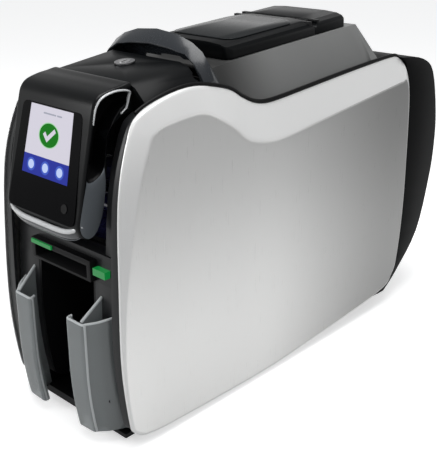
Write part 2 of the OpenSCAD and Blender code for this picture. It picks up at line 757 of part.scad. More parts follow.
module top_shell() {
  color([0.2, 0.2, 0.21]) difference() {
    union() {
      difference() {
        top_form(0, collar_y2, tail_y);
        top_form(skin_t, collar_y2 - 1, tail_y + 1);
      }
      // tail wall
      intersection() {
        top_form(0, collar_y2, tail_y);
        box(-core_hw, core_hw, tail_y - skin_t, tail_y, ph - 20, body_h);
      }
      // lugs on the frame plates
      both() for (y = [collar_y2 + 20, yr - 130])
        rod(frame_x1, core_hw - 1, y, skirt_z + 4, 3);
    }
    box(-hop_w / 2 - 4, hop_w / 2 + 4, lid_y0 + 2, hop_yc + hop_l / 2 + 4, 200, 300);
  }
}
lid_len = (lid_y1 - lid_y0) / cos(deck_slope);
cap_len = (cap_y1 - lid_y1) / cos(deck_slope);
lid_gap = 0.4;
lid_wall = 2.2;
// hinge of the lid, along and over the deck, with its barrel and groove
hinge_w = 8.6;
barrel_r = 2.4;
groove = 3;
barrel_x = [[10, 20], [21, 31]];
module on_lid() {
  translate([0, lid_y0, deck_z]) rotate([deck_slope, 0, 0]) children();
}
// crowned tier over the deck, g inside its faces, from u0 to u1 along the deck
module tier(g, u0, u1, w0) {
  a = mirrored([
    [lid_hw - 19, lid_h - 0.3 - g], [lid_hw - 7 - g * 0.3, lid_h - 1.2 - g],
    [lid_hw - 2 - g * 0.8, lid_h - 2.8 - g], [lid_hw - g, lid_h - 5 - g * 0.6], [lid_hw - g, w0]
  ]);
  along_y(u0, u1) polygon(a);
}
// open groove round the hinge
module hinge_groove() {
  translate([0, lid_len, 0]) {
    rod(-lid_hw - 1, lid_hw + 1, 0, hinge_w, groove);
    box(-lid_hw - 1, lid_hw + 1, -groove, groove, hinge_w, lid_h + 2);
  }
}
module barrels(k, dir) {
  translate([0, lid_len, 0]) both() {
    x0 = barrel_x[k][0];
    x1 = barrel_x[k][1];
    rod(x0, x1, 0, hinge_w, barrel_r);
    box(x0, x1, dir > 0 ? 0 : -groove - 1, dir > 0 ? groove + 1 : 0, hinge_w - barrel_r,
      hinge_w - 0.3);
  }
}
module hopper_lid() {
  color([0.08, 0.08, 0.09]) on_lid() difference() {
    union() {
      difference() {
        intersection() {
          tier(0, 0, lid_len - 0.3, lid_gap);
          translate([0, lid_len / 2 + 3, 0]) linear_extrude(30)
            rounded(2 * lid_hw, lid_len + 6, 6);
        }
        tier(lid_wall, lid_wall, lid_len - 0.3 - lid_wall, -1);
      }
      // hinge rail
      box(-lid_hw + 1, lid_hw - 1, lid_len - 6.5, lid_len - 0.3, hinge_w - 5, lid_h - 1);
      barrels(0, -1);
    }
    difference() {
      hinge_groove();
      barrels(0, -1);
    }
    rod(-40, 40, lid_len, hinge_w, lid_pin_r + fit);
  }
}
// fixed cap behind the lid, with the outer barrels of the hinge
module top_cap() {
  color([0.1, 0.1, 0.11]) on_lid() difference() {
    union() {
      difference() {
        tier(0, lid_len + 0.3, lid_len + cap_len, lid_gap * 0.5);
        tier(lid_wall, lid_len + 0.3 + lid_wall, lid_len + cap_len - lid_wall, -1);
      }
      box(-lid_hw + 1, lid_hw - 1, lid_len + 0.3, lid_len + 6.5, hinge_w - 5, lid_h - 1);
      barrels(1, 1);
    }
    difference() {
      hinge_groove();
      barrels(1, 1);
    }
    rod(-40, 40, lid_len, hinge_w, lid_pin_r + fit);
  }
}
module lid_pad() {
  color([0.05, 0.05, 0.06]) on_lid() intersection() {
    difference() {
      tier(-0.9, 10, 10 + pad_len, 0);
      tier(0, 9, 11 + pad_len, -1);
    }
    translate([0, 10 + pad_len / 2, 0]) linear_extrude(30) rounded(pad_w, pad_len, 12);
  }
}
module lid_hinge_pin() {
  color([0.7, 0.7, 0.7]) on_lid()
    rod(-barrel_x[1][1], barrel_x[1][1], lid_len, hinge_w, lid_pin_r);
}

rear_hw = hw - 5;
rear_profile = smooth_open([
  [tail_y, ph - 12.5], [yr - 65, ph - 12.8], [yr - 35, ph - 17.5], [yr - 15.5, ph - 31],
  [yr - 3.5, 168], [yr - 1.2, 136], [yr - 5, 104], [yr - 19.5, 56], [yr - 50.5, 24],
  [tray_y1, tray_z1 + 2]
], 4);
module rear_form(g) {
  along_x(-rear_hw + g, rear_hw - g) polygon(concat(
    [for (p = rear_profile) p + (p[1] > 100 ? [-g, -g * 0.9] : [-g, g * 0.9])],
    [[tail_y - g, tray_z1 + 2 + g], [tail_y - g, ph - 12.5 - g]]
  ));
}
module port_box(g) {
  box(-36 + g, 36 - g, yr - 34 + g, yr + 1, 44 + g, 96 - g);
}
module rear_housing() {
  color([0.07, 0.07, 0.08]) difference() {
    rear_form(0);
    rear_form(skin_t);
    both() core(-0.8, core_hw, hw);
    both() box(core_hw, hw, 0, yr - 80, 0, body_h);
    port_box(0);
    // frames and tray end inside
    box(-core_hw - 1, core_hw + 1, tail_y - 3, tray_y1 + 0.3, 0, tray_z1 + 6);
  }
}
module port_tray() {
  color([0.15, 0.15, 0.15]) difference() {
    intersection() {
      port_box(0);
      rear_form(0);
    }
    port_box(2);
  }
}
port_y0 = yr - 32;
jack_r = 2.8;
jack_x = -24;
module power_inlet() {
  color([0.05, 0.05, 0.05]) difference() {
    box(jack_x - 6, jack_x + 6, port_y0, port_y0 + 10, 52, 64);
    translate([jack_x, port_y0 + 2, 58]) rotate([-90, 0, 0]) cylinder(h = 10, r = jack_r);
  }
}
module usb_port() {
  color([0.6, 0.6, 0.62]) difference() {
    box(-8, 5, port_y0, port_y0 + 10, 52, 63);
    box(-6.5, 3.5, port_y0 + 2, port_y0 + 11, 53.5, 61.5);
  }
}
module network_port() {
  color([0.6, 0.6, 0.62]) difference() {
    box(12, 28, port_y0, port_y0 + 10, 52, 66);
    box(14, 26, port_y0 + 2, port_y0 + 11, 54, 64);
  }
}

// ---- input hopper ---------------------------------------------------------------

hop_yc = lid_y0 + 49;
hop_l = card_len + 2 * card_play;
hop_w = card_w + 2 * card_play;
hop_z0 = path_z + 4;
hop_z1 = deck_z - 6;
rail_hl = 4;
module hopper_box() {
  color([0.1, 0.1, 0.1]) difference() {
    union() {
      translate([0, hop_yc, hop_z0]) linear_extrude(hop_z1 - hop_z0) difference() {
        rounded(hop_w + 2 * bin_t, hop_l + 2 * bin_t, 3);
        rounded(hop_w, hop_l, 1);
      }
      // ears on the frame plates
      both() for (y = [hop_yc - 30, hop_yc + 26])
        box(hop_w / 2 + bin_t - 0.5, frame_x0, y, y + 4, skirt_z - 8, skirt_z + 2);
    }
    both() box(hop_w / 2 - 1, hop_w / 2 + bin_t + 1, hop_yc - rail_hl, hop_yc + rail_hl,
      hop_z0 + 2, hop_z1 - 14);
  }
}
module card_pusher() {
  color([0.3, 0.3, 0.32]) {
    translate([0, hop_yc, hop_z0 + 2.5]) linear_extrude(3) rounded(card_w, card_len - 3, 4);
    both() box(card_w / 2 - 3, hop_w / 2 + bin_t + 3, hop_yc - rail_hl + 0.5,
      hop_yc + rail_hl - 0.5, hop_z0 + 2.5, hop_z0 + 5.5);
  }
}

// ---- card path --------------------------------------------------------------------

pulley_x0 = frame_x1 + 0.4;
pulley_x1 = pulley_x0 + belt_w + 0.4;
// roller, its shaft through both frame plates, and its pulley outside the right one
module roller(p, r, len, pr) {
  rod(-frame_x1, pulley_x1, p[0], p[1], shaft_r);
  rod(-len / 2, len / 2, p[0], p[1], r);
  rod(pulley_x0, pulley_x1, p[0], p[1], pr);
}
deck_t = 2;
module card_deck() {
  color([0.35, 0.35, 0.36]) difference() {
    union() {
      box(-card_w / 2 - 2, card_w / 2 + 2, yf + 24, hop_yc + hop_l / 2, path_z - 0.6 - deck_t,
        path_z - 0.6);
      for (y = [exit_p[0] + 10, transport_p[0] + 12, pick_p[0] - 40, pick_p[0] + 20])
        box(-frame_x0, frame_x0, y, y + 4, path_z - 0.6 - deck_t, path_z - 0.6);
    }
    for (s = shafts)
      box(-26, 26, s[0] - platen_r - 1, s[0] + platen_r + 1, path_z - 10, path_z + 10);
    for (s = shafts) rod(-frame_x0 - 1, frame_x0 + 1, s[0], s[1], shaft_r + 0.5);
  }
}
// larger, so that the belt's top run is level
platen_pulley_r = pulley_r + platen_r - feed_r;
module platen_roller() {
  color([0.08, 0.08, 0.08]) roller(platen_p, platen_r, 50, platen_pulley_r);
}
module exit_roller() {
  color([0.1, 0.1, 0.1]) roller(exit_p, feed_r, 50, pulley_r);
}
module transport_roller() {
  color([0.1, 0.1, 0.1]) roller(transport_p, feed_r, 50, pulley_r);
}
module pick_roller() {
  color([0.1, 0.1, 0.1]) roller(pick_p, feed_r, 30, pulley_r);
}
module motor_pulley() {
  color([0.6, 0.6, 0.6]) {
    rod(frame_x0 - 8, pulley_x1, motor_p[0], motor_p[1], shaft_r);
    rod(pulley_x0, pulley_x1, motor_p[0], motor_p[1], motor_pulley_r);
  }
}
module feed_motor() {
  color([0.3, 0.3, 0.32]) difference() {
    union() {
      rod(frame_x0 - 34, frame_x0 - 2, motor_p[0], motor_p[1], 17);
      rod(frame_x0 - 2, frame_x0, motor_p[0], motor_p[1], 21);
    }
    rod(frame_x0 - 9, frame_x0 + 1, motor_p[0], motor_p[1], shaft_r + fit);
  }
}
// flat belt round the pulleys, 0.3 mm off them
module belt_loop(g) {
  hull() for (c = [
    [exit_p, pulley_r], [platen_p, platen_pulley_r], [pick_p, pulley_r],
    [motor_p, motor_pulley_r]
  ]) translate(c[0]) circle(c[1] + 0.3 + g);
}
module drive_belt() {
  color([0.05, 0.05, 0.05]) along_x(pulley_x0 + 0.2, pulley_x0 + 0.2 + belt_w) difference() {
    belt_loop(belt_t);
    belt_loop(0);
  }
}

// ---- ribbon station -----------------------------------------------------------------

supply_p = [yf + 83, path_z + 40];
takeup_p = [yf + 46, path_z + 40];
cheek_x = 36;
cheek_t = 2;
spindle_r = 3;
module spool(p, r) {
  rod(-cheek_x - cheek_t, cheek_x + cheek_t, p[0], p[1], spindle_r);
  rod(-cheek_x + 0.6, cheek_x - 0.6, p[0], p[1], core_r);
  rod(-card_w / 2 - 4, card_w / 2 + 4, p[0], p[1], r);
}
module supply_spool() color([0.1, 0.1, 0.25]) spool(supply_p, supply_r);
module takeup_spool() color([0.1, 0.1, 0.15]) spool(takeup_p, takeup_r);
module ribbon_frame() {
  color([0.75, 0.76, 0.78]) difference() {
    both() {
      box(cheek_x, cheek_x + cheek_t, takeup_p[0] - 9, supply_p[0] + 9, supply_p[1] - 12,
        supply_p[1] + 10);
      for (p = [supply_p, takeup_p]) rod(cheek_x + cheek_t - 0.5, frame_x0, p[0], p[1] - 9, 2.5);
    }
    for (p = [supply_p, takeup_p]) rod(-60, 60, p[0], p[1], spindle_r + fit);
    // notch that sits on the bridge
    box(-50, 50, head_y0 - 1.8, head_y1 + 1.8, path_z, path_z + 34);
  }
}
head_y0 = platen_p[0] - 3.5;
head_y1 = platen_p[0] + 3.5;
head_gap = 1.2;
module ribbon_film() {
  color([0.1, 0.1, 0.3]) along_x(-card_w / 2 - 4, card_w / 2 + 4) polygon([
    [supply_p[0] - 9.5, supply_p[1] - 7], [head_y1 + 1, path_z + 0.5],
    [head_y0 - 1, path_z + 0.5], [takeup_p[0] + 7.6, takeup_p[1] - 5],
    [takeup_p[0] + 7.9, takeup_p[1] - 5], [head_y0 - 0.8, path_z + 0.8],
    [head_y1 + 0.7, path_z + 0.8], [supply_p[0] - 9.8, supply_p[1] - 7]
  ]);
}
module print_head() {
  color([0.7, 0.7, 0.7]) {
    box(-card_w / 2 - 2, card_w / 2 + 2, head_y0, head_y1, path_z + head_gap, path_z + 8);
    // cooling fins
    for (i = [0 : 8]) let (x = -card_w / 2 - 2 + i * (card_w + 2.4) / 8)
      box(x, x + 1.6, head_y0, head_y1, path_z + 7.9, path_z + 30);
  }
}
module head_bridge() {
  color([0.5, 0.5, 0.52])
    box(-frame_x0, frame_x0, head_y0 - 1.5, head_y1 + 1.5, path_z + 30, path_z + 34);
}
module main_board() {
  color([0.08, 0.3, 0.14]) {
    box(-frame_x0 + 5, -frame_x0 + 6.6, yr - 176, yr - 80, 30, 104);
    for (y = [yr - 112, yr - 84]) for (z = [38, 106 - 6])
      rod(-frame_x0, -frame_x0 + 5.1, y, z, 2.5);
    // chips and a heat sink
    box(-frame_x0 + 6.5, -frame_x0 + 9, yr - 150, yr - 128, 56, 78);
    box(-frame_x0 + 6.5, -frame_x0 + 14, yr - 112, yr - 96, 50, 62);
  }
}

base_tray();
feet();
frame_left();
frame_right();
side_panel_left();
side_panel_right();
fascia_upper();
fascia_lower();
output_bin();
guard_left();
guard_right();
guard_clips();
slot_bezel();
slot_light();
bin_light();
collar();
top_shell();
rear_housing();
port_tray();
power_inlet();
usb_port();
network_port();
top_cap();
hopper_lid();
lid_pad();
lid_hinge_pin();
hopper_box();
card_pusher();
cover_shell();
head_shell();
chin_trim();
grip_left();
grip_right();
display_glass();
screen_panel();
display_board();
power_button();
cover_hinge_pin();
bulkhead();
lock_ring();
lock_plug();
card_deck();
platen_roller();
exit_roller();
transport_roller();
pick_roller();
drive_belt();
motor_pulley();
feed_motor();
ribbon_frame();
supply_spool();
takeup_spool();
ribbon_film();
print_head();
head_bridge();
main_board();
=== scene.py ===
"""Looks of a desktop card printer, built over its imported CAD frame.

Sizes in the tables below are millimetres in the frame's own axes: the front faces -Y, the
right-hand panel is at +X, and +Z is up. Every mesh is written in metres.
"""

import json
import math

import bmesh
import bpy
import numpy as np
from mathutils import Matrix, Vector

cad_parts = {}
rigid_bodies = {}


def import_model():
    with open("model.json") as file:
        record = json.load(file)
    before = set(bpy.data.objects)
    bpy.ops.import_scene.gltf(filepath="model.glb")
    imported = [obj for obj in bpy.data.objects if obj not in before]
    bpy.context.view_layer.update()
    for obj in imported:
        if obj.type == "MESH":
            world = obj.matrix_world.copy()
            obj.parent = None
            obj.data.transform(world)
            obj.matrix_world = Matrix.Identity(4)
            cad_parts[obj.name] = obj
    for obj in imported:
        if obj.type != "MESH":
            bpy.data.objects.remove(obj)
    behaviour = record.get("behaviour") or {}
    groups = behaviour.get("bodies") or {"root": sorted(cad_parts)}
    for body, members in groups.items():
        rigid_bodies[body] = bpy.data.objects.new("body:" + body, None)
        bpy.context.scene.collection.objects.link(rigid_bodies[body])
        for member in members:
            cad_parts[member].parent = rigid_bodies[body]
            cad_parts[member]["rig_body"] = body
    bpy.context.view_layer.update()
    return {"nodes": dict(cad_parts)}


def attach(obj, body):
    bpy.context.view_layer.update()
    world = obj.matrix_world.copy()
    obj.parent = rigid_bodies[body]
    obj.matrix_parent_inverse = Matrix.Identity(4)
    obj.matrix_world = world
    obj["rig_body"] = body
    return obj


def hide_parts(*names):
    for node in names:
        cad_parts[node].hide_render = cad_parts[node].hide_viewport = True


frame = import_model()

MM = 0.001
BODY_W, BODY_LEN = 130.0, 398.0
FRONT, REAR, SIDE = -BODY_LEN / 2, BODY_LEN / 2, BODY_W / 2

# ---------------------------------------------------------------- camera and light

# fitted camera: focal length and longer side of the picture in pixels, eye, aim in degrees
FOCAL_PX, LONG_PX = 836.128, 455
EYE, AZIMUTH, ELEVATION = (427.869, -485.851, 348.571), 43.2, 21.494
SENSOR = 36
# room: strength of its light, tone overhead, and sine of the angle at which that is reached
ROOM_LIGHT, CEILING, CEILING_SINE = 0.42, 0.36, 0.40
# floor: its tone up to the first x in metres and from the second on, its tone for the
# camera, and the share of the tone that it gives as light of its own
NEAR_FLOOR, FAR_FLOOR, FLOOR_X = 0.47, 0.27, (0.14, 0.50)
SEEN_FLOOR, FLOOR_GLOW, FLOOR_HALF = 0.86, 0.62, 6


def camera():
    """Puts the camera where the photograph was taken from, aimed by azimuth and elevation.

    The sensor spans the picture's longer side, so the lens is focal length over that side,
    both in pixels, times the sensor.
    """
    data = bpy.data.cameras.new("camera")
    data.sensor_width = SENSOR
    data.lens = FOCAL_PX / LONG_PX * SENSOR
    data.clip_start, data.clip_end = 0.05, 20
    eye = bpy.data.objects.new("camera", data)
    bpy.context.scene.collection.objects.link(eye)
    eye.location = Vector(EYE) * MM
    az, el = math.radians(AZIMUTH), math.radians(ELEVATION)
    back = Vector((math.sin(az) * math.cos(el), -math.cos(az) * math.cos(el), math.sin(el)))
    eye.rotation_euler = back.to_track_quat("Z", "Y").to_euler()
    bpy.context.scene.camera = eye


def area_light(name, place, target, size, power):
    """Adds one square soft light at place, aimed at target, both in millimetres."""
    data = bpy.data.lights.new(name, "AREA")
    data.size = size * MM
    data.energy = power
    lamp = bpy.data.objects.new(name, data)
    bpy.context.scene.collection.objects.link(lamp)
    lamp.location = Vector(place) * MM
    aim = Vector(place) - Vector(target)
    lamp.rotation_euler = aim.to_track_quat("Z", "Y").to_euler()


def room(scene):
    """World: weak light for diffuse rays and white for all others.

    In mirrors and through glass the white darkens overhead; the camera sees it unchanged.
    """
    world = bpy.data.worlds.new("room")
    scene.world = world
    world.use_nodes = True
    nt = world.node_tree
    nt.nodes.clear()
    out = nt.nodes.new("ShaderNodeOutputWorld")
    weak = nt.nodes.new("ShaderNodeBackground")
    weak.inputs["Color"].default_value = (0.97, 0.985, 1.0, 1)
    weak.inputs["Strength"].default_value = ROOM_LIGHT
    seen = nt.nodes.new("ShaderNodeBackground")
    seen.inputs["Color"].default_value = (1, 1, 1, 1)
    fade = map_range(nt, coordinate(nt, "Generated", "Z"), 0.0, CEILING_SINE, 1.0, CEILING)
    path = nt.nodes.new("ShaderNodeLightPath")
    nt.links.new(math_node(nt, "MAXIMUM", path.outputs["Is Camera Ray"], fade),
                 seen.inputs["Strength"])
    blend(nt, white_ray(nt), weak, seen, out)


def ground(scene):
    """Floor: pale for the camera and darker for all else, most so further off.

    For all but diffuse rays it also glows by a share of that tone.
    """
    mat = bpy.data.materials.new("floor")
    mat.use_nodes = True
    nt = mat.node_tree
    nt.nodes.clear()
    out = nt.nodes.new("ShaderNodeOutputMaterial")
    paint = nt.nodes.new("ShaderNodeBsdfDiffuse")
    glow = nt.nodes.new("ShaderNodeEmission")
    both = nt.nodes.new("ShaderNodeAddShader")
    tone = map_range(nt, coordinate(nt, "Object", "X"), *FLOOR_X, NEAR_FLOOR, FAR_FLOOR)
    path = nt.nodes.new("ShaderNodeLightPath")
    seen = math_node(nt, "MULTIPLY", path.outputs["Is Camera Ray"], SEEN_FLOOR)
    pale = math_node(nt, "MAXIMUM", seen, tone)
    nt.links.new(pale, paint.inputs["Color"])
    glow.inputs["Color"].default_value = (1, 1, 1, 1)
    nt.links.new(math_node(nt, "MULTIPLY", pale, FLOOR_GLOW), glow.inputs["Strength"])
    nt.links.new(paint.outputs[0], both.inputs[0])
    nt.links.new(glow.outputs[0], both.inputs[1])
    blend(nt, white_ray(nt), paint, both, out)
    mesh = bpy.data.meshes.new("floor")
    h = FLOOR_HALF
    mesh.from_pydata([(-h, -h, 0), (h, -h, 0), (h, h, 0), (-h, h, 0)], [], [(0, 1, 2, 3)])
    floor = bpy.data.objects.new("floor", mesh)
    scene.collection.objects.link(floor)
    floor.data.materials.append(mat)


def studio():
    """White room and pale floor, a broad top light, a front light and a weak side light."""
    scene = bpy.context.scene
    scene.view_settings.view_transform = "Standard"
    room(scene)
    ground(scene)
    area_light("top", (60, -60, 1000), (0, 0, 200), 620, 7.0)
    area_light("front", (-500, -900, 520), (0, -80, 130), 420, 3.4)
    area_light("side", (760, -420, 620), (60, -40, 180), 300, 0.8)


# ---------------------------------------------------------------- nodes


def math_node(nt, op, a, b):
    """One Math node; a and b are sockets or numbers."""
    n = nt.nodes.new("ShaderNodeMath")
    n.operation = op
    for k, v in enumerate((a, b)):
        if isinstance(v, (int, float)):
            n.inputs[k].default_value = v
        else:
            nt.links.new(v, n.inputs[k])
    return n.outputs[0]


def map_range(nt, value, a, b, c, d):
    """Smooth step of value from c at a to d at b."""
    n = nt.nodes.new("ShaderNodeMapRange")
    n.interpolation_type = "SMOOTHSTEP"
    for k, v in zip(("From Min", "From Max", "To Min", "To Max"), (a, b, c, d)):
        n.inputs[k].default_value = v
    nt.links.new(value, n.inputs["Value"])
    return n.outputs["Result"]


def scaled(nt, vec, factor):
    """A colour or vector times a factor; both are sockets."""
    n = nt.nodes.new("ShaderNodeVectorMath")
    n.operation = "SCALE"
    nt.links.new(vec, n.inputs[0])
    nt.links.new(factor, n.inputs["Scale"])
    return n.outputs[0]


def coordinate(nt, kind, axis):
    """One axis of the texture coordinates of a kind: Generated or Object."""
    split = nt.nodes.new("ShaderNodeSeparateXYZ")
    nt.links.new(nt.nodes.new("ShaderNodeTexCoord").outputs[kind], split.inputs[0])
    return split.outputs[axis]


def blend(nt, factor, first, second, out):
    """Sends two shader nodes to out: first where factor is 0 and second where it is 1."""
    mix = nt.nodes.new("ShaderNodeMixShader")
    for socket, value in zip(mix.inputs, (factor, first.outputs[0], second.outputs[0])):
        nt.links.new(value, socket)
    nt.links.new(mix.outputs[0], out.inputs[0])


def white_ray(nt):
    """1 for rays from the camera, a mirror or through glass, so that these see white."""
    path = nt.nodes.new("ShaderNodeLightPath").outputs
    seen = math_node(nt, "MAXIMUM", path["Is Camera Ray"], path["Is Glossy Ray"])
    return math_node(nt, "MAXIMUM", seen, path["Is Transmission Ray"])


# ---------------------------------------------------------------- shared shader groups


def new_group(name, ins, outs):
    """Starts a shader group; ins and outs are (name, type, default) rows."""
    g = bpy.data.node_groups.new(name, "ShaderNodeTree")
    for n, kind, value in ins:
        s = g.interface.new_socket(n, in_out="INPUT", socket_type="NodeSocket" + kind)
        if value is not None:
            s.default_value = value
    for n, kind in outs:
        g.interface.new_socket(n, in_out="OUTPUT", socket_type="NodeSocket" + kind)
    i = g.nodes.new("NodeGroupInput")
    o = g.nodes.new("NodeGroupOutput")
    return g, i, o


def stretched(g, scale):
    """Object coordinates stretched by scale along X, Y and Z."""
    tc = g.nodes.new("ShaderNodeTexCoord")
    mp = g.nodes.new("ShaderNodeMapping")
    mp.inputs["Scale"].default_value = scale
    g.links.new(tc.outputs["Object"], mp.inputs["Vector"])
    return mp.outputs[0]


def noise(g, vec, scale, detail=3.0):
    """A noise texture's grey value on vec."""
    n = g.nodes.new("ShaderNodeTexNoise")
    n.inputs["Detail"].default_value = detail
    if isinstance(scale, (int, float)):
        n.inputs["Scale"].default_value = scale
    else:
        g.links.new(scale, n.inputs["Scale"])
    g.links.new(vec, n.inputs["Vector"])
    return n.outputs["Fac"]


def moulded_group():
    """Moulded plastic: fine spark-eroded grain, and a faint change of tone and gloss."""
    g, i, o = new_group(
        "moulded",
        [("Color", "Color", (0.05, 0.05, 0.05, 1)), ("Roughness", "Float", 0.4),
         ("Grain", "Float", 900.0), ("Variation", "Float", 0.06)],
        [("Color", "Color"), ("Roughness", "Float"), ("Height", "Float")],
    )
    vec = stretched(g, (1, 1, 1))
    fine = noise(g, vec, i.outputs["Grain"], 2.0)
    broad = noise(g, vec, 18.0, 3.0)
    centred = math_node(g, "SUBTRACT", broad, 0.5)
    amount = math_node(g, "MULTIPLY", centred, i.outputs["Variation"])
    tone = math_node(g, "ADD", math_node(g, "MULTIPLY", amount, 3.0), 1.0)
    g.links.new(scaled(g, i.outputs["Color"], tone), o.inputs["Color"])
    grain = math_node(g, "MULTIPLY", math_node(g, "SUBTRACT", fine, 0.5), 0.08)
    g.links.new(math_node(g, "ADD", math_node(g, "ADD", i.outputs["Roughness"], amount), grain),
                o.inputs["Roughness"])
    g.links.new(fine, o.inputs["Height"])
    return g


def brushed_group():
    """Satin metal: hair-fine upright scratches and broad soft bands across the length."""
    g, i, o = new_group(
        "brushed",
        [("Color", "Color", (0.7, 0.7, 0.7, 1)), ("Roughness", "Float", 0.35),
         ("Bands", "Float", 0.08), ("Scratch", "Float", 0.05)],
        [("Color", "Color"), ("Roughness", "Float"), ("Height", "Float")],
    )
    hair = noise(g, stretched(g, (1, 1, 0.012)), 2600.0, 2.0)
    bands = noise(g, stretched(g, (0.1, 1, 0.05)), 9.0, 1.0)
    tone = math_node(
        g, "ADD", 1.0,
        math_node(
            g, "ADD",
            math_node(g, "MULTIPLY", math_node(g, "SUBTRACT", bands, 0.5), i.outputs["Bands"]),
            math_node(g, "MULTIPLY", math_node(g, "SUBTRACT", hair, 0.5), i.outputs["Scratch"]),
        ),
    )
    g.links.new(scaled(g, i.outputs["Color"], tone), o.inputs["Color"])
    g.links.new(
        math_node(g, "ADD", i.outputs["Roughness"],
                  math_node(g, "MULTIPLY", math_node(g, "SUBTRACT", hair, 0.5), 0.12)),
        o.inputs["Roughness"],
    )
    g.links.new(hair, o.inputs["Height"])
    return g


GROUPS = {"moulded": moulded_group(), "brushed": brushed_group()}

# ---------------------------------------------------------------- materials

# depth of the relief in metres, index of the clear moulding and fineness of its grain
RELIEF, CLEAR_IOR, CLEAR_GRAIN = 0.0002, 1.42, 160.0
# shares of a lit field's colour that are paint and light of its own
LIT_PAINT, LIT_GLOW = 0.12, 0.96


def group_node(nt, group, color, rough, **values):
    """Outputs of a shared group, with its colour, roughness and further values set."""
    gr = nt.nodes.new("ShaderNodeGroup")
    gr.node_tree = GROUPS[group]
    gr.inputs["Color"].default_value = (*color, 1)
    gr.inputs["Roughness"].default_value = rough
    for k, v in values.items():
        gr.inputs[k.capitalize()].default_value = v
    return gr.outputs


def material(name, group, color, rough, metallic=0.0, bump=0.02, coat=0.0, coat_rough=0.1,
             emission=None, specular=0.5, painted_shading=None, **values):
    """A Principled material whose colour, roughness and bump come from a shared group.

    Its shading tuple (y0, y1, s0, s1) paints light and shade into the colour: it scales the
    colour by s0 in front of y0 metres, by s1 behind y1 and by a smooth step between them.
    """
    m = bpy.data.materials.new(name)
    m.use_nodes = True
    nt = m.node_tree
    b = nt.nodes["Principled BSDF"]
    gr = group_node(nt, group, color, rough, **values)
    colour = gr["Color"]
    if painted_shading:
        colour = scaled(nt, colour, map_range(nt, coordinate(nt, "Object", "Y"), *painted_shading))
    nt.links.new(colour, b.inputs["Base Color"])
    nt.links.new(gr["Roughness"], b.inputs["Roughness"])
    bp = nt.nodes.new("ShaderNodeBump")
    bp.inputs["Strength"].default_value = bump
    bp.inputs["Distance"].default_value = RELIEF
    nt.links.new(gr["Height"], bp.inputs["Height"])
    nt.links.new(bp.outputs[0], b.inputs["Normal"])
    b.inputs["Metallic"].default_value = metallic
    b.inputs["Coat Weight"].default_value = coat
    b.inputs["Coat Roughness"].default_value = coat_rough
    b.inputs["Specular IOR Level"].default_value = specular
    if emission:
        b.inputs["Emission Color"].default_value = (*emission[0], 1)
        b.inputs["Emission Strength"].default_value = emission[1]
    return m


def lit(name, color):
    """A field of the lit picture: nearly all its tone is its own light."""
    return material(name, "moulded", tuple(LIT_PAINT * c for c in color), 0.3, bump=0.0,
                    emission=(color, LIT_GLOW), specular=0.05, variation=0.02)


def clear_plastic(name, color, rough, clear):
    """Grey moulding, see-through by the share clear; the milky rest shows its form."""
    m = bpy.data.materials.new(name)
    m.use_nodes = True
    nt = m.node_tree
    b = nt.nodes["Principled BSDF"]
    b.inputs["Transmission Weight"].default_value = clear
    b.inputs["IOR"].default_value = CLEAR_IOR
    gr = group_node(nt, "moulded", color, rough, grain=CLEAR_GRAIN)
    nt.links.new(gr["Color"], b.inputs["Base Color"])
    nt.links.new(gr["Roughness"], b.inputs["Roughness"])
    return m


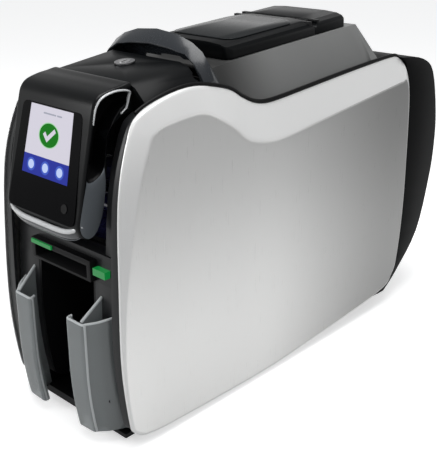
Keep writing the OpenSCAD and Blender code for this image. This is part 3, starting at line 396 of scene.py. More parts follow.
MAT = {
    # panel: painted reflection and shade along y, the metal's colour brighter at the front and
    # darker towards the rear
    "panel": material("panel_metal", "brushed", (0.70, 0.70, 0.692), 0.30, metallic=0.92,
                      bump=0.03, bands=0.10, scratch=0.04, painted_shading=(-0.060, 0.130, 1.28, 0.62)),
    # bevel: a lighter, less metallic copy of the panel's metal, painted highlight where the bevel
    # tilts up to the light
    "bevel": material("bevel_painted_highlight", "brushed", (0.86, 0.86, 0.855), 0.36, metallic=0.30,
                      bump=0.02, bands=0.05, scratch=0.03),
    "head": material("head_black", "moulded", (0.0045, 0.005, 0.0055), 0.30, bump=0.02,
                     specular=0.15),
    "cover": material("cover_black", "moulded", (0.003, 0.0035, 0.004), 0.34, bump=0.03,
                      specular=0.10),
    # shell: painted shade, the grey falling to near black towards the front
    "shell": material("shell_grey", "moulded", (0.165, 0.167, 0.165), 0.42, bump=0.03,
                      specular=0.30, painted_shading=(-0.080, -0.015, 0.12, 1.05)),
    "collar": material("collar_grey", "moulded", (0.020, 0.023, 0.027), 0.26, coat=0.15,
                       coat_rough=0.12, bump=0.02, specular=0.35),
    "lid": material("lid_black", "moulded", (0.003, 0.0035, 0.004), 0.30, bump=0.03,
                    specular=0.12),
    "pad": material("pad_gloss", "moulded", (0.0045, 0.006, 0.007), 0.20, bump=0.01,
                    specular=0.14),
    "fascia": material("fascia_black", "moulded", (0.012, 0.0125, 0.0135), 0.36, bump=0.03,
                       specular=0.35),
    # pocket: darkest, dullest black, on the power inlet and button, and as painted shade in the
    # head's pockets and the shadow line over the panels
    "pocket": material("pocket_black", "moulded", (0.0015, 0.0015, 0.0018), 0.40, bump=0.02,
                       specular=0.15),
    "glass": material("window_black", "moulded", (0.0015, 0.0015, 0.002), 0.16, bump=0.0,
                      specular=0.05),
    "rear": material("rear_black", "moulded", (0.0022, 0.0024, 0.0028), 0.42, bump=0.03,
                     specular=0.07),
    "inner": material("inner_black", "moulded", (0.003, 0.003, 0.0035), 0.5, bump=0.05,
                      specular=0.2),
    # rim: pale gloss for the rods over the head's pockets, a painted highlight on the black edge
    "rim": material("rim_painted_highlight", "moulded", (0.50, 0.51, 0.52), 0.18, coat=0.9,
                    coat_rough=0.06, bump=0.01),
    "chin": material("chin_grey", "moulded", (0.62, 0.63, 0.64), 0.18, coat=0.8,
                     coat_rough=0.08, bump=0.01),
    "chin_dark": material("chin_dark", "moulded", (0.05, 0.053, 0.06), 0.22, coat=0.3, bump=0.01),
    # ramp: a lighter copy of the head's black, painted sheen on the head's sides under the
    # pockets; the line under the chin uses it too
    "ramp": material("ramp_grey", "moulded", (0.135, 0.15, 0.165), 0.30, coat=0.4, bump=0.02),
    "rubber": material("rubber_black", "moulded", (0.02, 0.02, 0.02), 0.75, bump=0.08),
    "steel": material("frame_steel", "brushed", (0.55, 0.56, 0.57), 0.38, metallic=1.0,
                      bump=0.05),
    "pin": material("steel_pin", "brushed", (0.62, 0.62, 0.63), 0.25, metallic=1.0, bump=0.02),
    "alloy": material("alloy", "brushed", (0.65, 0.65, 0.66), 0.35, metallic=1.0, bump=0.04),
    "motor": material("motor_grey", "moulded", (0.12, 0.12, 0.13), 0.4, metallic=0.4),
    "board": material("board_green", "moulded", (0.02, 0.12, 0.05), 0.42, bump=0.03),
    "ribbon": material("ribbon_blue", "moulded", (0.02, 0.02, 0.07), 0.18, coat=0.6, bump=0.01),
    "moulding": material("moulding_light", "moulded", (0.55, 0.56, 0.58), 0.45, bump=0.04),
    "lock": material("lock_grey", "brushed", (0.30, 0.30, 0.31), 0.3, metallic=0.9, bump=0.02),
    "led": material("light_green", "moulded", (0.004, 0.09, 0.02), 0.2, coat=0.3, bump=0.01,
                    emission=((0.01, 0.36, 0.07), 0.42), specular=0.3),
    "lit_white": lit("screen_white", (0.62, 0.60, 0.68)),
    "lit_green": lit("screen_green", (0.004, 0.165, 0.006)),
    "lit_halo": lit("screen_halo", (0.36, 0.66, 0.38)),
    "lit_blue": lit("screen_blue", (0.022, 0.034, 0.30)),
    "lit_glow": lit("screen_glow", (0.05, 0.10, 0.50)),
    "lit_tile": lit("screen_tile", (0.48, 0.58, 0.86)),
    "lit_text": lit("screen_text", (0.34, 0.35, 0.42)),
    "clear": clear_plastic("clear_guard", (0.40, 0.43, 0.435), 0.12, 0.58),
    # a paler, less clear copy of the guard's plastic for its edges and corner rods: a painted
    # highlight
    "clear_painted_highlight": clear_plastic("clear_painted_highlight", (0.74, 0.77, 0.78), 0.08, 0.30),
}

# ---------------------------------------------------------------- meshes


def to_object(name, verts, faces, mat, angle=35):
    """Makes an object from millimetre points and faces, turned outward and shaded by angle."""
    mesh = bpy.data.meshes.new(name)
    mesh.from_pydata((np.asarray(verts, float) * MM).tolist(), [], faces)
    bm = bmesh.new()
    bm.from_mesh(mesh)
    bmesh.ops.recalc_face_normals(bm, faces=bm.faces)
    if bm.calc_volume(signed=True) < 0:
        bmesh.ops.reverse_faces(bm, faces=bm.faces)
    bm.to_mesh(mesh)
    bm.free()
    mesh.shade_smooth()
    mesh.set_sharp_from_angle(angle=math.radians(angle))
    mesh.materials.append(mat)
    obj = bpy.data.objects.new(name, mesh)
    bpy.context.scene.collection.objects.link(obj)
    return obj


def ring_faces(k, n, closed_path=False):
    """Quads between k rings of n points, each ring closed; closed_path joins last to first."""
    a = np.arange(n)
    b = (a + 1) % n
    rows = np.arange(k if closed_path else k - 1)[:, None]
    nxt = (rows + 1) % k
    q = np.stack([rows * n + a, rows * n + b, nxt * n + b, nxt * n + a], -1)
    return q.reshape(-1, 4).tolist()


def lofted(name, rings, mat, angle=35, fans=True):
    """Closed skin through rings (k, n, 3); a fan to its middle or one face shuts each end."""
    rings = np.asarray(rings, float)
    k, n, _ = rings.shape
    verts = rings.reshape(-1, 3)
    faces = ring_faces(k, n)
    if fans:
        verts = np.vstack([verts, rings[0].mean(0), rings[-1].mean(0)])
        a = np.arange(n)
        b = (a + 1) % n
        faces += np.stack([b, a, np.full(n, k * n)], -1).tolist()
        faces += np.stack([(k - 1) * n + a, (k - 1) * n + b, np.full(n, k * n + 1)], -1).tolist()
    else:
        faces += [list(range(n))[::-1], list(range((k - 1) * n, k * n))]
    return to_object(name, verts, faces, mat, angle)


def torus_loop(name, rings, mat, angle=35):
    """Skin through rings that close on themselves, so it has no ends."""
    rings = np.asarray(rings, float)
    k, n, _ = rings.shape
    return to_object(name, rings.reshape(-1, 3), ring_faces(k, n, True), mat, angle)


def catmull_rom(a, b, c, d, steps):
    """Cubic curves from points b to points c, steps samples to each.

    A curve leaves b along half of c - a and reaches c along half of d - b.
    """
    a, b, c, d = (p[:, None] for p in (a, b, c, d))
    t = (np.arange(steps) / steps)[None, :, None]
    q = 0.5 * (2 * b + (c - a) * t + (2 * a - 5 * b + 4 * c - d) * t**2
               + (3 * b - a - 3 * c + d) * t**3)
    return q.reshape(-1, q.shape[2])


def spline_closed(points, steps):
    """Catmull-Rom curve through a closed loop of points."""
    p = np.asarray(points, float)
    return catmull_rom(*(np.roll(p, s, 0) for s in (1, 0, -1, -2)), steps)


def spline_open(points, steps):
    """Catmull-Rom curve through an open row of points, with its last point."""
    p = np.asarray(points, float)
    e = np.vstack([p[:1], p, p[-1:]])
    return np.vstack([catmull_rom(e[:-3], e[1:-2], e[2:-1], e[3:], steps), p[-1:]])


def eased(a, corner, b, t):
    """Quadratic curve from a to b drawn to a corner: (1-t)^2 a + 2t(1-t) corner + t^2 b."""
    return (1 - t) ** 2 * a + 2 * t * (1 - t) * corner + t * t * b


def tube(name, path, radius, mat, sides=12, flat=1.0, up=(1, 0, 0)):
    """Rod along a path: each section is a circle, squeezed by flat, set square to the path."""
    p = np.asarray(path, float)
    t = np.gradient(p, axis=0)
    t /= np.linalg.norm(t, axis=1)[:, None]
    u = np.asarray(up, float)[None, :] - (t @ np.asarray(up, float))[:, None] * t
    u /= np.linalg.norm(u, axis=1)[:, None]
    v = np.cross(t, u)
    a = np.linspace(0, 2 * np.pi, sides, endpoint=False)
    r = np.broadcast_to(np.asarray(radius, float), (len(p),))[:, None, None]
    rings = p[:, None, :] + r * (np.cos(a)[None, :, None] * u[:, None, :]
                                 + flat * np.sin(a)[None, :, None] * v[:, None, :])
    return lofted(name, rings, mat, 50)


# softened skins: merging distance in metres, and in degrees what counts as flat, the least
# turn of an edge that is rounded off, and the least turn that is shaded as an edge
MERGE, FLAT, TURN, SMOOTH = 2e-5, 0.6, 28, 38


def softened(node, mat, width):
    """Copy of a CAD node with its flat facets joined and its edges rounded off by width."""
    src = frame["nodes"][node]
    bm = bmesh.new()
    bm.from_mesh(src.data)
    bmesh.ops.remove_doubles(bm, verts=bm.verts, dist=MERGE)
    bmesh.ops.dissolve_limit(bm, angle_limit=math.radians(FLAT), verts=bm.verts,
                             edges=bm.edges)
    bm.normal_update()
    sharp = [e for e in bm.edges
             if len(e.link_faces) == 2 and e.calc_face_angle(0) > math.radians(TURN)]
    bmesh.ops.bevel(bm, geom=sharp, offset=width * MM, offset_type="OFFSET", segments=2,
                    profile=0.5, affect="EDGES", clamp_overlap=True)
    bmesh.ops.triangulate(bm, faces=[f for f in bm.faces if len(f.verts) > 4])
    mesh = bpy.data.meshes.new(node + "_skin")
    bm.to_mesh(mesh)
    bm.free()
    mesh.shade_smooth()
    mesh.set_sharp_from_angle(angle=math.radians(SMOOTH))
    mesh.materials.clear()
    mesh.materials.append(mat)
    obj = bpy.data.objects.new(node + "_skin", mesh)
    bpy.context.scene.collection.objects.link(obj)
    settle(obj, node)


def paint_faces(obj, index):
    """Gives each face the material slot of its index."""
    obj.data.polygons.foreach_set("material_index", index.astype(np.int32))


def settle(obj, *nodes):
    """Lets obj ride with the body of the CAD nodes that it stands for, and hides those nodes."""
    first = frame["nodes"][nodes[0]]
    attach(obj, first["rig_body"])
    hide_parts(*nodes)


def added(obj, body):
    """Lets a piece that stands for no CAD node ride with a body."""
    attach(obj, body)


# ---------------------------------------------------------------- side panels

# heights of the panel's top and foot
PH, PZ = 237.3, 3.5
# outline (y, z), way to the bevel's crown (y, z) and depth of the panel's wall
STATIONS = [
    (FRONT + 15.5, PZ + 21, 1.5, 0, 2.6), (FRONT + 11.2, PZ + 63, 2, 0, 2.6),
    (FRONT + 12, 116.6, 4.5, 0, 2.9), (FRONT + 16.4, PH - 59, 12, -1, 5),
    (FRONT + 27.2, PH - 22.6, 11.7, -7, 7), (FRONT + 37.9, PH - 9.6, 7.5, -10, 9),
    (FRONT + 62.9, PH - 1.7, 2.5, -14, 10.5), (FRONT + 89, PH, -0.5, -16, 10.5),
    (FRONT + 118.5, PH - 6.5, -6.4, -22, 10.5), (FRONT + 133.8, PH - 14.7, -6.4, -26, 10.5),
    (FRONT + 145.5, PH - 20.0, -3.4, -26, 10.5), (FRONT + 158.5, PH - 22.5, 0.6, -25.8, 10.5),
    (FRONT + 176, PH - 22.0, 2.4, -25.2, 10.5), (FRONT + 205, PH - 19.6, 1.9, -24.4, 10.5),
    (REAR - 136.6, PH - 14.9, 1.8, -23, 10.5), (REAR - 83, PH - 11.4, -1, -21, 10.5),
    (REAR - 67.7, PH - 13.2, -5, -18, 10.5), (REAR - 60.7, PH - 23.3, -5.6, -8, 8),
    (REAR - 58.2, PH - 47, -2.8, -1, 6), (REAR - 56.4, PH - 96, -1.5, 0, 5),
    (REAR - 55.3, 89, -1.5, 0, 5), (REAR - 58.4, PZ + 44.5, -1.5, 0, 5),
    (REAR - 64.5, PZ + 23.5, -1.5, 1.5, 4), (REAR - 88.7, PZ + 11.8, 0, 1.5, 4),
    (REAR - 201, PZ + 2.7, 0, 1.5, 4), (FRONT + 146, PZ + 0.5, 0, 1.5, 4),
    (FRONT + 66, PZ + 1.9, 0, 1.5, 4), (FRONT + 32, PZ + 3.9, 1.5, 1.5, 4),
    (FRONT + 20, PZ + 9.4, 1.5, 1.5, 3.8),
]
RIM_X = SIDE - max(row[4] for row in STATIONS)
PANEL_T = 2.2
# the bevel is BEVEL_SLOPE as deep as it is wide, up to a width of BEVEL_MAX, and leaves
# WALL_MIN of the wall standing; its upper corner is eased over CROWN_EASE of the flat face
BEVEL_SLOPE, BEVEL_MAX, WALL_MIN, CROWN_EASE = 0.5, 19, 1.2, 2.4
# samples to a station, samples round an eased corner, and sizes of the rings in the face
PANEL_STEPS, CORNER_STEPS, FACE_RINGS = 14, 7, (0.9, 0.6, 0.3)
# the painted shadow line runs over the top, from station 5 to a little past station 17
SHADOW_LINE_SPAN = slice(5 * PANEL_STEPS, 17 * PANEL_STEPS + 8)


def inward(loop):
    """Unit vectors that point into a closed (y, z) loop."""
    d = np.roll(loop, -1, 0) - np.roll(loop, 1, 0)
    d /= np.linalg.norm(d, axis=1)[:, None]
    return np.stack([d[:, 1], -d[:, 0]], -1)


def side_panel(sign):
    """Bevelled dish: a wall up from the rim, a rounded shoulder, the bevel and a flat face.

    Each section runs from the outline to the crown of the bevel; its depth is BEVEL_SLOPE
    times the bevel's width, and both corners are eased by quadratic curves.
    """
    side = "right" if sign > 0 else "left"
    q = spline_closed(STATIONS, PANEL_STEPS)
    out, way, wall_h = q[:, :2], q[:, 2:4], q[:, 4]
    n = len(out)
    width = np.linalg.norm(way, axis=1)
    deep = np.minimum(BEVEL_SLOPE * np.minimum(width, BEVEL_MAX), wall_h - WALL_MIN)
    wall = inward(out)

    def at(x, yz):
        x = np.broadcast_to(np.asarray(x, float), (n,))
        return np.column_stack([sign * x, yz])

    low, knee, crown = at(SIDE - wall_h, out), at(SIDE - deep, out), at(SIDE, out + way)
    step = way / width[:, None] * np.minimum(CROWN_EASE, width[:, None])
    corners = [
        (knee + (low - knee) * 0.45, knee, knee + (crown - knee) * 0.16),
        (crown + (knee - crown) * 0.14, crown, crown + np.column_stack([np.zeros(n), step])),
    ]
    rings = [low] + [eased(*corner, t) for corner in corners
                     for t in np.linspace(0, 1, CORNER_STEPS)]
    mid = rings[-1].mean(0)
    rings += [mid + (rings[-1] - mid) * s for s in FACE_RINGS]
    # the same dish from within, PANEL_T inside the first
    sunk = mid - np.array([sign * PANEL_T, 0, 0])
    back = at(SIDE - PANEL_T, out + way + 1.2 * wall)
    inner_knee = np.maximum(SIDE - wall_h + 0.4, SIDE - PANEL_T - deep)
    inner = [at(SIDE - wall_h, out + PANEL_T * wall), at(inner_knee, out + PANEL_T * wall), back]
    inner += [sunk + (back - sunk) * s for s in (0.7, 0.3)]
    rings = rings[::-1] + inner
    obj = lofted("panel_" + side, rings, MAT["panel"], 40)
    obj.data.materials.append(MAT["bevel"])
    # the bevel's lighter metal, a painted highlight, starts halfway round its upper corner and
    # ends at the rim
    rows = np.zeros(len(rings) - 1, int)
    first = len(FACE_RINGS)
    rows[first + CORNER_STEPS // 2: first + 2 * CORNER_STEPS] = 1
    paint_faces(obj, np.concatenate([np.repeat(rows, n), np.zeros(2 * n, int)]))
    settle(obj, "side_panel_" + side)
    # dark rod between the panel's upper edge and the shell, a painted shadow line, thinner to its
    # ends
    shadow_line = at(RIM_X - 0.1, out - 0.8 * wall)[SHADOW_LINE_SPAN]
    girth = 1.7 * np.sin(np.linspace(0.25, np.pi - 0.25, len(shadow_line))) ** 0.3
    added(tube("shadow_line_" + side, shadow_line, girth, MAT["pocket"], 10), "housing")
    # dark flank that carries the panel: the same outline, a little inside it
    foot = RIM_X - 0.6
    lip = SIDE - wall_h + 0.3
    high = np.maximum(foot + 0.6, lip)
    band = [at(foot, out + 3.0 * wall), at(foot, out + 0.9 * wall),
            at(np.maximum(foot + 0.3, lip - 1.0), out + 0.9 * wall),
            at(high, out + 1.6 * wall), at(high, out + 3.0 * wall)]
    added(torus_loop("flank_" + side, band, MAT["fascia"], 40), "housing")


# ---------------------------------------------------------------- display head

LEAN = math.radians(13.3)
CHIN_Y, CHIN_Z, BROW_Z = FRONT + 0.4, 156.0, 231.0
FACE_LEN = (BROW_Z - CHIN_Z) / math.cos(LEAN)


def on_face(pts):
    """Takes (right, up, out) points of the display face into the frame."""
    p = np.asarray(pts, float)
    r, u, o = p[..., 0], p[..., 1], p[..., 2]
    y = CHIN_Y + u * math.sin(LEAN) - o * math.cos(LEAN)
    z = CHIN_Z + u * math.cos(LEAN) + o * math.sin(LEAN)
    return np.stack([r, y, z], -1)


def face_plate(name, outline, out0, out1, mat):
    """Thin plate on the display face, from out0 to out1, over (right, up) points."""
    rings = [on_face(np.column_stack([outline, np.full(len(outline), w)])) for w in (out0, out1)]
    return lofted(name, rings, mat, 30, fans=False)


def round_rect(cx, cy, w, h, r, n=8):
    """Outline of a rectangle with rounded corners, anticlockwise."""
    turns = []
    for k, (sx, sy) in enumerate(((1, 1), (-1, 1), (-1, -1), (1, -1))):
        a = np.linspace(0, np.pi / 2, n) + k * np.pi / 2
        corner = (cx + sx * (w / 2 - r), cy + sy * (h / 2 - r))
        turns.append(r * np.stack([np.cos(a), np.sin(a)], -1) + corner)
    return np.vstack(turns)


# half the width of the head, and the radius of its side edges
HEAD_W, HEAD_ROUND = 38.6, 2.4
# side outline of the head (y, z), how far it draws in at the sides, and the pocket's rim
HEAD = [
    (FRONT + 2.1, 160, 1.4, 0.4, FRONT + 11.2, 188.6),
    (FRONT + 5.1, 174, 1.4, -0.2, FRONT + 11.4, 191.5),
    (FRONT + 9.4, 194, 1.4, -0.4, FRONT + 13.2, 200.0),
    (FRONT + 14.1, 214, 1.4, -0.5, FRONT + 17.0, 215.0),
    (FRONT + 17.4, 228, 1.4, -0.8, FRONT + 19.6, 228.6),
    (FRONT + 19.8, 234.6, 1.2, -1.2, FRONT + 22.4, 234.4),
    (FRONT + 24.5, 238.8, 0.6, -1.5, FRONT + 27.0, 237.6),
    (FRONT + 33.0, 241.2, 0.0, -1.6, FRONT + 34.5, 239.3),
    (FRONT + 41.0, 242.3, 0.0, -1.6, FRONT + 42.0, 238.6),
    (FRONT + 48.4, 243.2, 0.0, -1.6, FRONT + 46.5, 235.4),
    (FRONT + 48.8, 240.5, 0.0, -1.0, FRONT + 45.5, 232.4),
    (FRONT + 48.8, 228.0, 0.0, 0.0, FRONT + 42.0, 229.4),
    (FRONT + 47.5, 225.6, 0.0, 0.0, FRONT + 38.6, 227.0),
    (FRONT + 38.0, 222.5, 0.0, 0.0, FRONT + 33.0, 221.0),
    (FRONT + 28.4, 213.0, 0.0, 0.0, FRONT + 27.6, 210.0),
    (FRONT + 26.4, 190.0, -0.2, 0.0, FRONT + 25.4, 196.0),
    (FRONT + 22.9, 168.0, -0.4, 0.0, FRONT + 22.5, 190.5),
    (FRONT + 17.5, 154.5, -0.5, 0.6, FRONT + 17.0, 187.6),
    (FRONT + 11.0, 149.8, 0.0, 1.0, FRONT + 14.4, 187.0),
    (FRONT + 4.6, 152.6, 1.0, 0.8, FRONT + 12.4, 187.2),
]
# pocket in the head's side: share of the way from edge to rim where it starts to turn in,
# radius and samples of that turn, then depth and size of the rings inside
POCKET_FROM, POCKET_ROUND, TURN_STEPS = 0.82, 0.9, 4
POCKET = ((3.0, 0.96), (8.0, 0.90), (12.0, 0.80), (12.0, 0.4))
# samples to a point of the side outline, and samples round the head's side edge
HEAD_STEPS, EDGE_STEPS = 8, 8
# samples of the outline under the pocket, which get a painted sheen, and those along the rod of
# painted highlight over it
PAINTED_SHEEN_SPAN = np.arange(-38, 4)
ARCH_SPAN = slice(3 * HEAD_STEPS + 4, 12 * HEAD_STEPS + 4)


def head():
    """Display head: the side outline swept across, with a pocket sunk in each side.

    A section at angle t round the edge lies at x = w - r (1 - sin t) and draws in by
    (1 - cos t) of its pull. Past the edge the skin runs flat towards the pocket's rim, turns
    in there along a quarter of a circle and ends in a flat floor.
    """
    q = spline_closed(HEAD, HEAD_STEPS)
    line, pull, rim = q[:, :2], q[:, 2:4], q[:, 4:]
    n = len(line)
    mid = rim.mean(0)
    edge = line + pull

    def at(x, yz):
        return np.column_stack([np.full(n, float(x)), yz])

    def inside(share):
        return edge + (rim - edge) * share

    half = [at(HEAD_W - HEAD_ROUND * (1 - np.sin(t)), line + pull * (1 - np.cos(t)))
            for t in np.linspace(0, np.pi / 2, EDGE_STEPS)]
    half.append(at(HEAD_W, inside(POCKET_FROM)))
    for t in np.linspace(0.25, np.pi / 2, TURN_STEPS):
        half.append(at(HEAD_W - POCKET_ROUND * (1 - np.cos(t)),
                       inside(POCKET_FROM + (1 - POCKET_FROM) * np.sin(t))))
    half += [at(HEAD_W - deep, mid + (rim - mid) * size) for deep, size in POCKET]
    rings = half[::-1] + [ring * [-1, 1, 1] for ring in half]
    obj = lofted("head_skin", rings, MAT["head"], 32)
    obj.data.materials.append(MAT["pocket"])
    obj.data.materials.append(MAT["ramp"])
    # rows count from the middle of either pocket: its inside, then the skin up to the edge
    table = np.zeros((len(rings) - 1, n), int)
    within = len(POCKET) + 1
    ramp = within + TURN_STEPS
    # the pocket's inside takes the darker, duller pocket black: painted shade in the recess
    table[:within] = table[-within:] = 1
    # the skin under the pocket takes the lighter ramp grey: painted sheen on the head's black
    table[within:ramp, PAINTED_SHEEN_SPAN] = 2
    table[-ramp:-within, PAINTED_SHEEN_SPAN] = 2
    paint_faces(obj, np.concatenate([table.ravel(), np.ones(2 * n, int)]))
    settle(obj, "head_shell", "grip_left", "grip_right")
    # pale rod over the pocket, a painted highlight on its edge, from the front of the rim to its
    # hook behind
    arch = inside(0.62)[ARCH_SPAN]
    taper = 0.45 + 0.55 * np.sin(np.linspace(0.08, np.pi - 0.15, len(arch))) ** 0.5
    for sign, side in ((1, "right"), (-1, "left")):
        path = np.column_stack([np.full(len(arch), sign * (HEAD_W - 0.1)), arch])
        added(tube("pocket_rim_highlight_" + side, path, 1.35 * taper, MAT["rim"], 10, 0.6), "cover")


CHIN_TILT = math.radians(30)


def chin():
    """Ledge under the face: an oval carried along x, a bright rod on it and a line below.

    Over the half width u = |x| / w the ends turn back by the 8th power of u and rise by its
    5th power, so that the ledge smiles round the foot of the face.
    """
    w = HEAD_W - 0.6
    x = w * np.sin(np.linspace(-np.pi / 2, np.pi / 2, 73))
    u = np.abs(x / w)
    back, rise = 3.2 * u ** 8, 7.0 * u ** 5
    a = np.linspace(0, 2 * np.pi, 20, endpoint=False)
    c, s = math.cos(CHIN_TILT), math.sin(CHIN_TILT)
    sec = np.stack([2.0 * np.cos(a), 3.4 * np.sin(a)], -1) @ np.array([[c, s], [-s, c]])
    rings = [np.column_stack([np.full(len(a), xi), sec + (FRONT + 4.6 + b, 149.6 + h)])
             for xi, b, h in zip(x, back, rise)]
    settle(lofted("chin_ledge", rings, MAT["chin_dark"], 40), "chin_trim")
    path = np.column_stack([x, FRONT + 2.0 + back, 153.4 + rise])
    lip = 1.85 - 0.5 * u ** 6
    added(tube("chin_lip", path, lip, MAT["chin"], 16, 0.9, up=(0, 0, 1)), "cover")
    path = np.column_stack([x, FRONT + 5.0 + back, 146.8 + 1.1 * rise])
    added(tube("chin_line", path, 0.55, MAT["ramp"], 10, up=(0, 0, 1)), "cover")


def rounded(corners, radii, n=7):
    """Polygon whose corners are cut by quadratic curves of the given lengths."""
    p = np.asarray(corners, float)
    t = np.linspace(0, 1, n)[:, None]
    out = []
    for k, r in enumerate(radii):
        c = p[k]
        a = p[k - 1] - c
        b = p[(k + 1) % len(p)] - c
        a, b = c + a / np.linalg.norm(a) * r, c + b / np.linalg.norm(b) * r
        out.append(eased(a, c, b, t))
    return np.vstack(out)


# window on the face: its corners (right, up), the length cut off each, back and front
WINDOW = [(-30.5, FACE_LEN - 3.5), (30.5, FACE_LEN - 3.5), (35.4, 3.2), (-35.4, 3.2)]
WINDOW_CUTS, WINDOW_OUT = (5, 5, 6, 6), (-1.2, 0.3)
# lit picture: width at its top, height, height of its bar, foot, and how far out it lies
SCREEN_W, SCREEN_H, BAR_H = 44.0, 45.0, 12.6
SCREEN_V0 = FACE_LEN - 4.5 - SCREEN_H
SCREEN_OUT, LAYER = 0.34, 0.03


def screen():
    """Lit picture on the window: a pale field with a tick in a disc over a bar of dots."""
    z = SCREEN_OUT
    top = SCREEN_V0 + SCREEN_H
    a = np.linspace(0, 2 * np.pi, 48, endpoint=False)
    circle = np.stack([np.cos(a), np.sin(a)], -1)

    def field(v0, v1, flare=2.2):
        """Band of the picture between two heights; its half width grows towards the foot."""
        h0, h1 = (SCREEN_W / 2 - 0.2 + flare * (top - v) / SCREEN_H for v in (v0, v1))
        return rounded([(-h1, v1), (-h0, v0), (h0, v0), (h1, v1)], (0.4,) * 4, 4)

    centre = (0, SCREEN_V0 + BAR_H + 14.6)
    tick = np.array([(-6.2, 0.6), (-4.0, 2.5), (-1.6, -0.4), (5.0, 5.6), (6.8, 3.4), (-1.5, -4.4)])
    pieces = [
        ("field", field(SCREEN_V0 + BAR_H, top), z, "lit_white"),
        ("bar", field(SCREEN_V0, SCREEN_V0 + BAR_H), z, "lit_blue"),
        ("halo", circle * (10.6, 8.2) + centre, z + 0.02, "lit_halo"),
        ("disc", circle * (9.8, 7.6) + centre, z + 0.05, "lit_green"),
        ("tick", tick * (1.0, 0.95) + centre - (0, 0.4), z + 0.08, "lit_white"),
        ("line_a", round_rect(-1.5, top - 4.4, 13, 1.0, 0.4), z + 0.03, "lit_text"),
        ("line_b", round_rect(8.5, top - 4.4, 5, 1.0, 0.4), z + 0.03, "lit_text"),
    ]
    for k, x in enumerate((-15.0, 0, 15.0)):
        spot = (x, SCREEN_V0 + BAR_H / 2)
        pieces.append((f"glow_{k}", circle * 4.4 + spot, z + 0.03, "lit_glow"))
        pieces.append((f"dot_{k}", circle * 3.0 + spot, z + 0.06, "lit_tile"))
    for name, outline, w, mat in pieces:
        added(face_plate("screen_" + name, outline, w - LAYER, w, MAT[mat]), "cover")


def window():
    """Dark window in the face, on which the lit picture lies."""
    settle(face_plate("window", rounded(WINDOW, WINDOW_CUTS), *WINDOW_OUT, MAT["glass"]),
           "display_glass")


# ---------------------------------------------------------------- clear guards

# height of the guards' lip, x of the lip's ends and of the flared wall's, wall thickness
GUARD_TOP, GUARD_IN, GUARD_OUT, FLARE_X, GUARD_T = 92.0, 20.6, 37.6, 50.0, 2.0
# a guard's front lies GUARD_INSET behind the body's, and LEAN_BACK more at its foot
GUARD_INSET, LEAN_BACK, LEAN_TOP, LEAN_FOOT = 0.5, 5.9, 60, 4
# plan of a guard: x, and y behind its front
GUARD_PLAN = [
    (GUARD_IN + 0.6, 4.6), (GUARD_IN, 2.2), (GUARD_IN + 1.2, 0.9), (GUARD_IN + 5, 0.9),
    (GUARD_OUT - 4, 0.9), (GUARD_OUT - 1, 1.3), (GUARD_OUT + 0.6, 3.2), (43.6, 9.0),
    (FLARE_X - 1.6, 17.2), (FLARE_X, 19.0), (FLARE_X + 0.6, 19.4),
]
# levels of a guard from foot to crest: share of the height, and share that it draws in
GUARD_LEVELS = [(0, 0.55), (0.004, 0.1), *((t, 0) for t in np.linspace(0.02, 0.98, 22)),
                (0.996, 0.1), (1, 0.55)]
# rods in a guard's front corners: x, y behind the front, radius
GUARD_RODS = ((GUARD_IN + 0.4, 2.4, 1.5), (GUARD_OUT - 0.2, 2.2, 1.3))
# inner wall of a guard: nearest and furthest y, its x at the front and how far it splays
WEB_Y, WEB_X, WEB_SPLAY = (2.2, 18.6), 34.4, 0.14


def guard_front(z):
    """Front of the guard at height z: it leans back towards the foot by a square law."""
    down = np.clip((LEAN_TOP - z) / (LEAN_TOP - LEAN_FOOT), 0, 1)
    return FRONT + GUARD_INSET + LEAN_BACK * down ** 2


def guard_foot(x):
    """Height of the guard's foot, which rises a little outward."""
    return 7.6 + 0.06 * (x - GUARD_IN)


def guard_crest(y):
    """Height of the guard's crest, which rises to the rear over the first 20 mm."""
    return GUARD_TOP + 0.22 * np.clip(y, 0, 20)


def strip(name, rings, mat):
    """Skin through rings that are flat loops: one wall, a tip, the other wall, a tip.

    Points 0 to m - 1 run along one wall, m is the far tip, m + 1 to 2m run back along the
    other wall and 2m + 1 is the near tip. Quads from wall to wall and a triangle at each
    tip shut the first and the last ring.
    """
    rings = np.asarray(rings, float)
    k, n, _ = rings.shape
    m = n // 2 - 1
    across = [(a, a + 1, 2 * m - 1 - a, 2 * m - a) for a in range(m - 1)]
    across += [(m - 1, m, m + 1), (2 * m + 1, 0, 2 * m)]
    faces = ring_faces(k, n)
    for base, turn in ((0, -1), ((k - 1) * n, 1)):
        faces += [[base + p for p in face[::turn]] for face in across]
    return to_object(name, rings.reshape(-1, 3), faces, mat, 40)


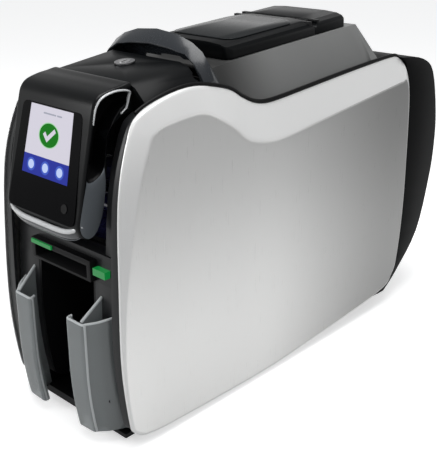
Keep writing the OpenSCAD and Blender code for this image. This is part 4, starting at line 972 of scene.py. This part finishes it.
def guard(sign):
    """Clear scoop: a lip, a flared outer wall, a web inside and a thick rounded edge on each.

    The plan is a path of points; at height z it moves back by guard_front(z), and the skin
    runs along both sides of it, half the wall's thickness off.
    """
    name = "guard_right" if sign > 0 else "guard_left"
    plan = spline_open(GUARD_PLAN, 7)
    d = np.gradient(plan, axis=0)
    d /= np.linalg.norm(d, axis=1)[:, None]
    half = GUARD_T / 2
    off = half * np.stack([-d[:, 1], d[:, 0]], -1)
    tip = half * 0.7
    loop = np.vstack([plan + off, plan[-1] + tip * d[-1], (plan - off)[::-1],
                      plan[0] - tip * d[0]])
    centre = np.vstack([plan, plan[-1:], plan[::-1], plan[:1]])
    foot, crest = guard_foot(loop[:, 0]), guard_crest(loop[:, 1])
    rings = []
    for share, shrink in GUARD_LEVELS:
        z = foot + (crest - foot) * share
        xy = loop + (centre - loop) * shrink
        rings.append(np.column_stack([sign * xy[:, 0], xy[:, 1] + guard_front(z), z]))
    settle(strip(name + "_skin", rings, MAT["clear"]), name)

    def clear_piece(obj):
        added(obj, "housing")

    # inner wall, rising to the fascia, and its top edge, paler than the wall as a painted
    # highlight
    y = np.linspace(*WEB_Y, 12)
    top = GUARD_TOP + 15 * (y / WEB_Y[1])
    x = WEB_X + WEB_SPLAY * y
    walls = [[np.column_stack([sign * (x + half_t), y + front, np.broadcast_to(z, len(y))])
              for front, z in ((guard_front(9.0), 9.0), (guard_front(50.0), 50.0), (FRONT, top))]
             for half_t in (-0.7, 0.7)]
    web = np.stack(walls[0] + walls[1][::-1], 1)
    clear_piece(lofted(name + "_web", web, MAT["clear"], 40, fans=False))
    edge = np.column_stack([sign * x, y + FRONT, top])
    clear_piece(tube(name + "_edge", edge, 1.1, MAT["clear_painted_highlight"], 10))
    # rim along the crest and a rod in each front corner, paler than the wall as a painted
    # highlight
    rim = np.column_stack([sign * plan[:, 0], plan[:, 1] + guard_front(GUARD_TOP) + 0.2,
                           guard_crest(plan[:, 1])])
    clear_piece(tube(name + "_top", rim, 0.95, MAT["clear_painted_highlight"], 10, up=(0, 0, 1)))
    for k, (px, py, r) in enumerate(GUARD_RODS):
        z = np.linspace(guard_foot(px) + 1.0, GUARD_TOP + 0.2, 20)
        path = np.column_stack([np.full(len(z), sign * px), py + guard_front(z), z])
        clear_piece(tube(f"{name}_corner_{k}", path, r, MAT["clear_painted_highlight"], 12))


# ---------------------------------------------------------------- order of making

camera()
studio()
side_panel(1)
side_panel(-1)
guard(1)
guard(-1)
head()
chin()
screen()
window()

# CAD nodes shown by a softened copy: finish, and how far its edges are rounded off
SKINS = {
    "cover_shell": ("cover", 1.2), "fascia_upper": ("fascia", 0.8),
    "fascia_lower": ("fascia", 0.8), "collar": ("collar", 0.6), "top_shell": ("shell", 1.0),
    "rear_housing": ("rear", 1.2), "hopper_lid": ("lid", 1.4), "top_cap": ("lid", 1.0),
    "lid_pad": ("pad", 0.4), "slot_bezel": ("inner", 0.4),
}
for node, (mat, width) in SKINS.items():
    softened(node, MAT[mat], width)

# CAD nodes shown as they are, in a finish
FINISH = {
    "base_tray": "inner", "feet": "rubber", "frame_left": "steel", "frame_right": "steel",
    "output_bin": "inner", "guard_clips": "inner", "slot_light": "led", "bin_light": "led",
    "port_tray": "inner", "power_inlet": "pocket", "usb_port": "steel", "network_port": "steel",
    "lid_hinge_pin": "pin", "hopper_box": "inner", "card_pusher": "moulding",
    "screen_panel": "lit_white", "display_board": "board", "power_button": "pocket",
    "cover_hinge_pin": "pin", "bulkhead": "inner", "lock_ring": "lock", "lock_plug": "pin",
    "card_deck": "inner", "platen_roller": "rubber", "exit_roller": "rubber",
    "transport_roller": "rubber", "pick_roller": "rubber", "drive_belt": "rubber",
    "motor_pulley": "alloy", "feed_motor": "motor", "ribbon_frame": "moulding",
    "supply_spool": "ribbon", "takeup_spool": "ribbon", "ribbon_film": "ribbon",
    "print_head": "alloy", "head_bridge": "steel", "main_board": "board",
}
for node, mat in FINISH.items():
    data = frame["nodes"][node].data
    data.materials.clear()
    data.materials.append(MAT[mat])
